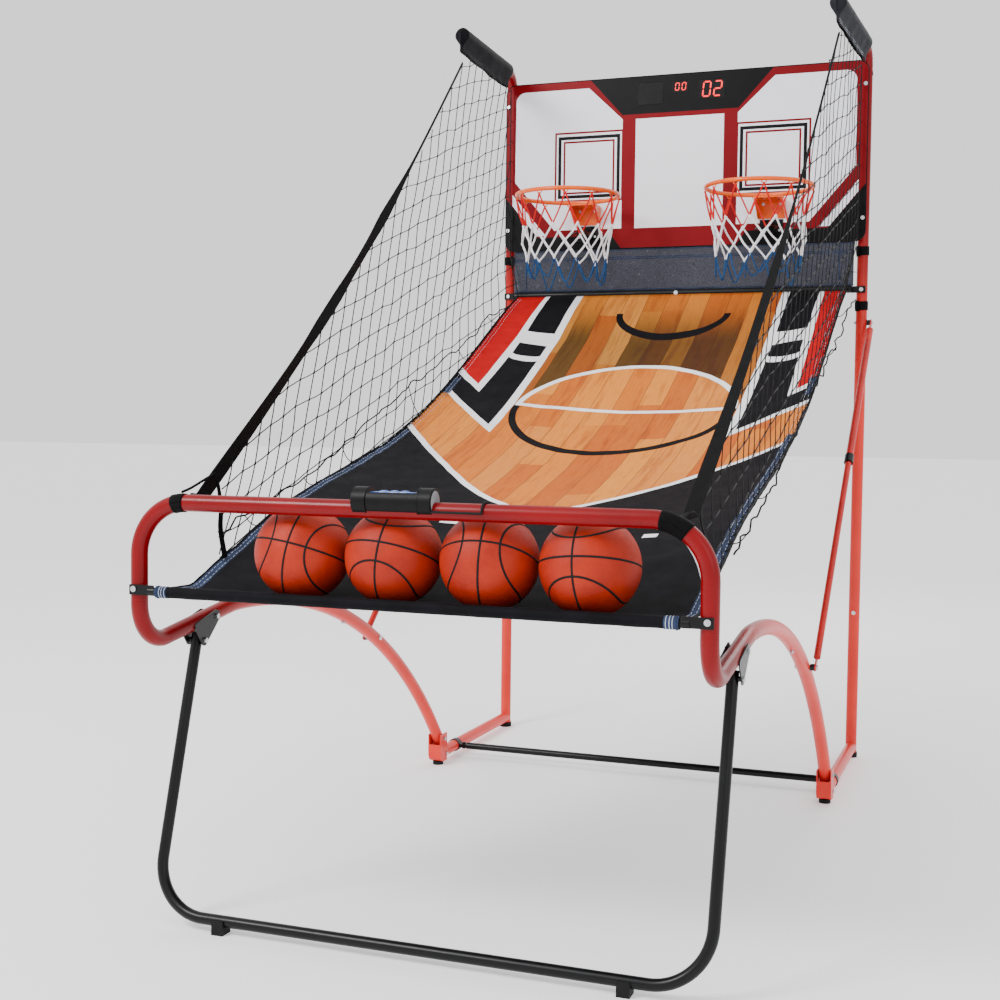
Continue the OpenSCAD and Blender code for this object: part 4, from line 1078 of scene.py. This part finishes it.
def edge_band(side, name):
    """The band along the sloping edge of a side net: thin at the top, wide and twisted below."""
    form = Form()
    left = side < 0
    start, end = 470, 1908
    path, across, widths = [], [], []
    for d in spread(start, end, 24):
        t = (d - start) / (end - start)
        path.append(at(side * (net_x(d) + 2.5), d, strap_z(d)))
        if left:
            twist = 1.15 * math.exp(-((t - 0.34) / 0.06) ** 2) + 0.9 * math.exp(-((t - 0.60) / 0.05) ** 2)
        else:
            twist = 0.85 + 0.35 * ease((t - 0.2) / 0.4)
        across.append(Vector((0, -0.6, 0.8)) * math.cos(twist) + Vector((side, 0, 0)) * math.sin(twist))
        widths.append(7 + 16 * ease((t - (0.24 if left else 0.38)) / 0.16) + 11 * ease((t - 0.7) / 0.25))
    tail = [(1930, 815), (1940, 809)] if left else [(1945, 823), (1974, 820), (1994, 814)]
    for k, (d, z) in enumerate(tail):
        path.append(at(side * (net_x(end) + 2.5 + 2 * k), d, z))
        across.append(Vector((0, -0.5, 0.85)) if left else Vector((0.9, -0.2, 0.3 + 0.2 * k)))
        widths.append(32 - 5 * k)
    form.strip(path, across, widths, 2.2)
    foot = smooth_path([at(side * (net_x(1835) + 1), 1838, strap_z(1838) - 6),
                        at(side * (net_x(1820) + 2), 1822, 800),
                        at(side * 492, 1806, 752), at(side * 489, NET_FOOT, hem_z(NET_FOOT) + 4)], 5)
    form.strip(foot, (0, -1, 0.15), spread(9, 18, 9 / (len(foot) - 1)), 2)
    if left:
        form.tube(smooth_path([at(-net_x(1845) - 1, 1845, strap_z(1845) + 11), at(-474, 1900, 853),
                               at(-463, 1958, 842), at(-456, 2000, 836)], 6), 2.6, 6)
    else:
        for x, d, z in ((474, 1985, 800), (484, 1972, 792)):
            tie = [at(x, d, z), at(495, d - 60, 744), at(499, d - 130, hem_z(d - 130) + 2)]
            form.tube(smooth_path(tie, 5), 1.3, 5, 1)
    obj = form.build("edge_band_" + name, [WEBBING, CORD_WHITE], None)
    blend_front(obj)


def post_loops():
    """Webbing loops that tie nets, skirt and ramp to the posts."""
    form = Form()
    loop_r = 17.3
    for side, _ in SIDES:
        for z in (1472, 1315):
            ring = [at(side * (SIDE_X + loop_r * math.cos(a)), -loop_r * math.sin(a), z + 1.5 * math.cos(a))
                    for a in turns(28) + [math.tau]]
            form.strip(ring, (0, 0, 1), 25, 1.8)
            tail = [at(side * 529, 13, z), at(side * 527, 24, z), at(side * 526, 40, z - 2)]
            form.strip(smooth_path(tail, 4), (0, 0, 1), 22, 2.2)
            form.box(side * 529 - 5, side * 529 + 5, 14, 20, z - 15, z + 15)
    return form.build("post_loops", [WEBBING], "rear_frame")


ARM_X = 540
ARM_LEAN = math.radians(2.7)


def by_arm(side, x, along, z):
    """A point beside a top arm: x outwards from its axis, along from the post."""
    return Vector((side * (ARM_X + x - math.sin(ARM_LEAN) * along), POST_Y - math.cos(ARM_LEAN) * along, z))


def arm_sleeve(side, name):
    """Cloth folded over a top arm and sewn below it."""
    form = Form()
    keel = [(4.5, 2020), (3.2, 2006), (2.6, 1999.5)]
    ring = flip(keel)[::-1] + arc(0, 2051, 20.5, 21.5, -28, 208, 22)[::-1] + keel

    def place(along, k):
        x, z = ring[k]
        x *= 1 - 0.95 * ease((along - 483) / 15)
        z -= 14 * ease((along - 480) / 18) * ease((z - 2040) / 26)
        hang = ease((2051 - z) / 55)
        fold = 2.4 * noise.noise(Vector((along * 0.018, k * 0.3, 1.0 + side)))
        sway = 5 * noise.noise(Vector((along * 0.012, 0, 3.0 + side))) - 4 * math.sin(along * 0.008)
        z += hang * sway
        return by_arm(side, x + fold * (0.3 + hang), along, z)

    form.grid(place, spread(58, 480, 11) + [484, 488, 492, 496, 500], range(len(ring)))
    obj = form.build("arm_sleeve_cloth_" + name, [CLOTH_BLACK, CLOTH_BACK], "rear_frame",
                     sharp=0)
    thicken(obj, 1.2, 1)
    seam = Form()
    for along in spread(62, 478, 10):
        for z in (2009, 2003):
            p = by_arm(side, 4.6, along, z)
            seam.tube([p, p + Vector((0, -6, 0))], 0.5, 4)
    stitch = seam.build("arm_sleeve_seam_" + name, [THREAD], "rear_frame")
    around = sum(math.hypot(a[0] - b[0], a[1] - b[1]) for a, b in zip(ring, ring[1:]))
    return obj


def skirt():
    form = Form()

    def place(x, z):
        wave = 1.6 * noise.noise(Vector((x * 0.02, z * 0.01, 6.0))) + 0.8 * math.sin(x * 0.03)
        taper = ease((z - 1372) / 30) * ease((1500 - z) / 30)
        return at(x, 24.5 + wave * taper, z)

    form.grid(place, spread(-518, 518, 14), spread(1371.8, 1499.8, 9))
    obj = form.build("skirt_mesh", [SKIRT], "rear_frame", sharp=0)
    thicken(obj, 0.8)
    seams = Form()
    for z in (1376, 1468, 1473, 1495):
        seams.strip([place(x, z) + Vector((0, -1.0, 0)) for x in spread(-516, 516, 20)], (0, 0, 1), 2.2, 0.8)
    for x in (-478, 478):
        seams.strip([place(x, z) + Vector((0, -1.2, 0)) for z in spread(1374, 1498, 12)], (1, 0, 0), 3, 0.8)
    hem = seams.build("skirt_hems", [HEM], "rear_frame")
    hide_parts("mesh_skirt")


# ---- front bar details ----

def bar_wrap(x, a):
    """Cloth round the bar, which is level and then bends down at its corner."""
    over = max(0.0, abs(x) - CORNER_X)
    z = BAR_Z - CORNER_R + math.sqrt(max(0.0, CORNER_R ** 2 - over ** 2))
    r = TUBE_R + 1.7 + 0.7 * noise.noise(Vector((x * 0.12, a * 1.4, 0)))
    lean = math.asin(math.copysign(min(1.0, over / CORNER_R), x))
    up = Vector((math.sin(lean), 0, math.cos(lean)))
    return at(x, BAR_D, z) + r * (math.sin(a) * up - math.cos(a) * Vector((0, 1, 0)))


def bar_bands():
    form = Form()
    for x0, x1 in ((-464, -440), (456, 502)):
        form.grid(bar_wrap, spread(x0, x1, 4), spread(0, math.tau, 0.3))
    obj = form.build("bar_bands", [WEBBING], "front_frame", sharp=0)
    thicken(obj, 1.6, offset=1.0)
    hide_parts("bar_straps")


def key_surround(form, k):
    """The label plate round one key, with the key's hole and a raised rim."""
    x, d = UNIT_X + KEY_PITCH * k, BAR_D + 3
    left, right = (KEY_PITCH / 2 if k > -1 else 21), (KEY_PITCH / 2 if k < 1 else 21)
    rear, front = 11, 12
    corners = [math.atan2(b, a) % math.tau for a in (-left, right) for b in (-rear, front)]

    def place(a, v):
        """Round the plate's section: v 2 and 3 lie in the hole, the others outside, 1 and 2 on top."""
        c, s = math.cos(a), math.sin(a)
        edge = min((right if c > 0 else left) / max(abs(c), 1e-6),
                   (front if s > 0 else rear) / max(abs(s), 1e-6))
        r = KEY_HOLE if v in (2, 3) else edge
        return at(x + r * c, d + r * s, UNIT_Z + (16.5 if v in (1, 2) else 15.6))

    form.grid(place, sorted(turns(36) + [math.tau] + corners), range(5), 1)
    rim = [at(x + 8.6 * math.cos(a), d + 8.6 * math.sin(a), UNIT_Z + 16.5) for a in turns(28)]
    form.tube(rim, 0.6, 8, 2, closed=True)


def control_unit():
    form = Form()
    low, high = UNIT_X - 74.5, UNIT_X + 74.5
    r = UNIT_R - 0.3
    for x, way in ((low, -1), (high, 1)):
        form.turned(at(x, BAR_D, UNIT_Z), (way, 0, 0),
                    [(-2, r), (0.4, r), (1.4, UNIT_R - 2.0), (1.4, 21), (0.2, 20.4)], 40)
    for x in (low + 25, high - 25):
        ridge = [(-1.5, UNIT_R - 0.2), (-1.2, UNIT_R + 0.5), (1.2, UNIT_R + 0.5), (1.5, UNIT_R - 0.2)]
        form.turned(at(x, BAR_D, UNIT_Z), (1, 0, 0), ridge, 40)
    for k in (-1, 0, 1):
        key_surround(form, k)
        key_cap(k)
    form.box(UNIT_X - 36, UNIT_X + 36, BAR_D + 15.2, BAR_D + 16.4, UNIT_Z + 11, UNIT_Z + 15, 1)
    form.build("control_trim", [PLASTIC, BLUE_KEY, WHITE_PLASTIC], "front_frame")
    disc = Form()
    disc.turned(at(high + 0.2, BAR_D, UNIT_Z), (1, 0, 0),
                [(0, 21), (0.5, 21), (0.8, 20.5), (0.8, 2), (0.3, 0.5)], 36)
    disc.build("control_end_disc", [SILVER_DISC], "front_frame")


def key_cap(k):
    key = Form()
    x, d, up = UNIT_X + KEY_PITCH * k, BAR_D + 3, (0, 0, 1)
    key.turned(at(x, d, UNIT_Z), up,
               [(9, 7.5), (17.6, 7.5), (18.6, 7.1), (19, 6.2), (18.7, 3.5), (18.5, 0.6)], 28)
    key.turned(at(x, d, UNIT_Z + 18.4), up, [(0, 3.1), (0.5, 3.0), (0.6, 2.4), (0.6, 0.3)], 16, 1)
    obj = key.build("key_cap_%d" % (k + 2), [BLUE_KEY, WHITE_PLASTIC], "key_%d" % (k + 2))
    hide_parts("button_%d" % (k + 2))


# ---- balls ----

def seam_curves():
    """Closed curves on the unit sphere: two great circles and an oval round each side."""
    angles = turns(96)
    curves = [[Vector((0, math.cos(a), math.sin(a))) for a in angles],
              [Vector((math.cos(a), 0, math.sin(a))) for a in angles]]
    for way in (-1, 1):
        oval = []
        for a in angles:
            s = math.sin(a)
            reach = math.radians(44 + 24 * s * s)
            oval.append(Vector((way * math.cos(reach), math.sin(reach) * math.cos(a), math.sin(reach) * s)))
        curves.append(oval)
    return curves


# How each ball lies, as seen from the camera: where two seams cross, clockwise lean, ovals above and below
BALL_LIE = {1: (-0.31, 0.21, 14, False), 2: (-0.30, 0.30, 9, True),
            3: (-0.18, 0.39, 4, False), 4: (-0.35, 0.18, -2, True)}


def ball_spin(centre, lie):
    across, above, lean, stacked = lie
    to_camera = (CAMERA / MM - centre).normalized()
    side = Vector((0, 0, 1)).cross(to_camera).normalized()
    top = to_camera.cross(side)
    front = side * across + top * above + to_camera * math.sqrt(1 - across ** 2 - above ** 2)
    up = top * math.cos(math.radians(lean)) + side * math.sin(math.radians(lean))
    up = (up - front * up.dot(front)).normalized()
    first = up if stacked else up.cross(front)
    return Matrix((first, front.cross(first), front)).transposed()


def ball_template():
    mesh = bpy.data.meshes.new("ball")
    bm = bmesh.new()
    bmesh.ops.create_icosphere(bm, subdivisions=5, radius=88.6 * MM)
    bm.to_mesh(mesh)
    bm.free()
    mesh.materials.append(BALL)
    mesh.polygons.foreach_set("use_smooth", [True] * len(mesh.polygons))
    return mesh


def balls():
    template = ball_template()
    for k, lie in BALL_LIE.items():
        node = "ball_%d" % k
        centre = Vector(middle(node))
        spin = ball_spin(centre, lie)
        obj = new_object("basketball_%d" % k, template.copy())
        obj.data.transform(Matrix.Translation(centre * MM) @ spin.to_4x4())
        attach(obj, "loose_ball_%d" % k)
        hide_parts(node)
        form = Form()
        for curve in seam_curves():
            form.tube([centre + spin @ (v * 86.9) for v in curve], 2.7, 8, closed=True)
        form.turned(centre + spin @ Vector((0, 0, -88.2)), spin @ Vector((0, 0, -1)),
                    [(-1, 3.4), (0.4, 3.4), (0.7, 2.6), (0.5, 0.8)], 16)
        form.build("ball_seams_%d" % k, [SEAM], "loose_ball_%d" % k)


# ---- studio ----

def camera():
    data = bpy.data.cameras.new("camera")
    data.lens = 52.13
    data.sensor_width = 36
    cam = new_object("camera", data)
    yaw, pitch, roll = math.radians(20.274), math.radians(-3.156), math.radians(0.626)
    forward = Vector((-math.sin(yaw) * math.cos(pitch), math.cos(yaw) * math.cos(pitch), math.sin(pitch)))
    right = Vector((math.cos(yaw), math.sin(yaw), 0))
    up = right.cross(forward)
    r = right * math.cos(roll) + up * math.sin(roll)
    u = up * math.cos(roll) - right * math.sin(roll)
    cam.matrix_world = Matrix.Translation(CAMERA) @ Matrix((r, u, -forward)).transposed().to_4x4()
    bpy.context.scene.camera = cam


def aim(lamp, direction, axis):
    lamp.rotation_euler = Vector(direction).to_track_quat(axis, "Y").to_euler()


def studio():
    floor = Look("studio_floor", Roughness=0.75, Specular_IOR_Level=0.2, Emission_Color=(1, 1, 1, 1),
                 Emission_Strength=0.3)
    floor.wire("Base Color", floor.ramp(floor.noise(0.4, 4.0), [(0.32, (0.885, 0.885, 0.885, 1)),
                                                                (0.68, (0.9, 0.9, 0.9, 1))]))
    form = Form()
    reach = 40000
    form.add([Vector((x, y, 0)) for x, y in box2(-reach, reach, -reach, reach)], [(0, 1, 2, 3)])
    form.build("floor", [floor.material], smooth=False)
    world = bpy.data.worlds.new("studio_world")
    world.use_nodes = True
    back = world.node_tree.nodes["Background"]
    back.inputs[0].default_value = (1, 1, 1, 1)
    back.inputs[1].default_value = 1.3
    bpy.context.scene.world = world
    sun = bpy.data.lights.new("soft_sun", "SUN")
    sun.energy = 0.35
    sun.angle = 0.7
    aim(new_object("soft_sun", sun), (-0.35, -0.45, 0.85), "Z")
    for name, place, power, size in (("key", (-2.4, -3.6, 3.9), 210, 1.4),
                                     ("fill", (3.8, -3.0, 2.4), 25, 2.2),
                                     ("rim", (1.0, 4.0, 3.6), 60, 2.4)):
        data = bpy.data.lights.new(name, "AREA")
        data.energy = power
        data.size = size
        lamp = new_object(name, data)
        lamp.location = place
        aim(lamp, Vector((0, 0, 1.0)) - Vector(place), "-Z")


finish_nodes()
camera()
board_print()
digits()
for side, name in SIDES:
    hoop_net(side, name)
ramp()
pocket_sleeve()
for side, name in SIDES:
    side_net(side, name)
    hem_lashing(side, name)
    edge_band(side, name)
loops = post_loops()
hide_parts("net_straps")
sleeves = [arm_sleeve(side, name) for side, name in SIDES]
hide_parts("arm_sleeves")
skirt()
bar_bands()
control_unit()
balls()
studio()
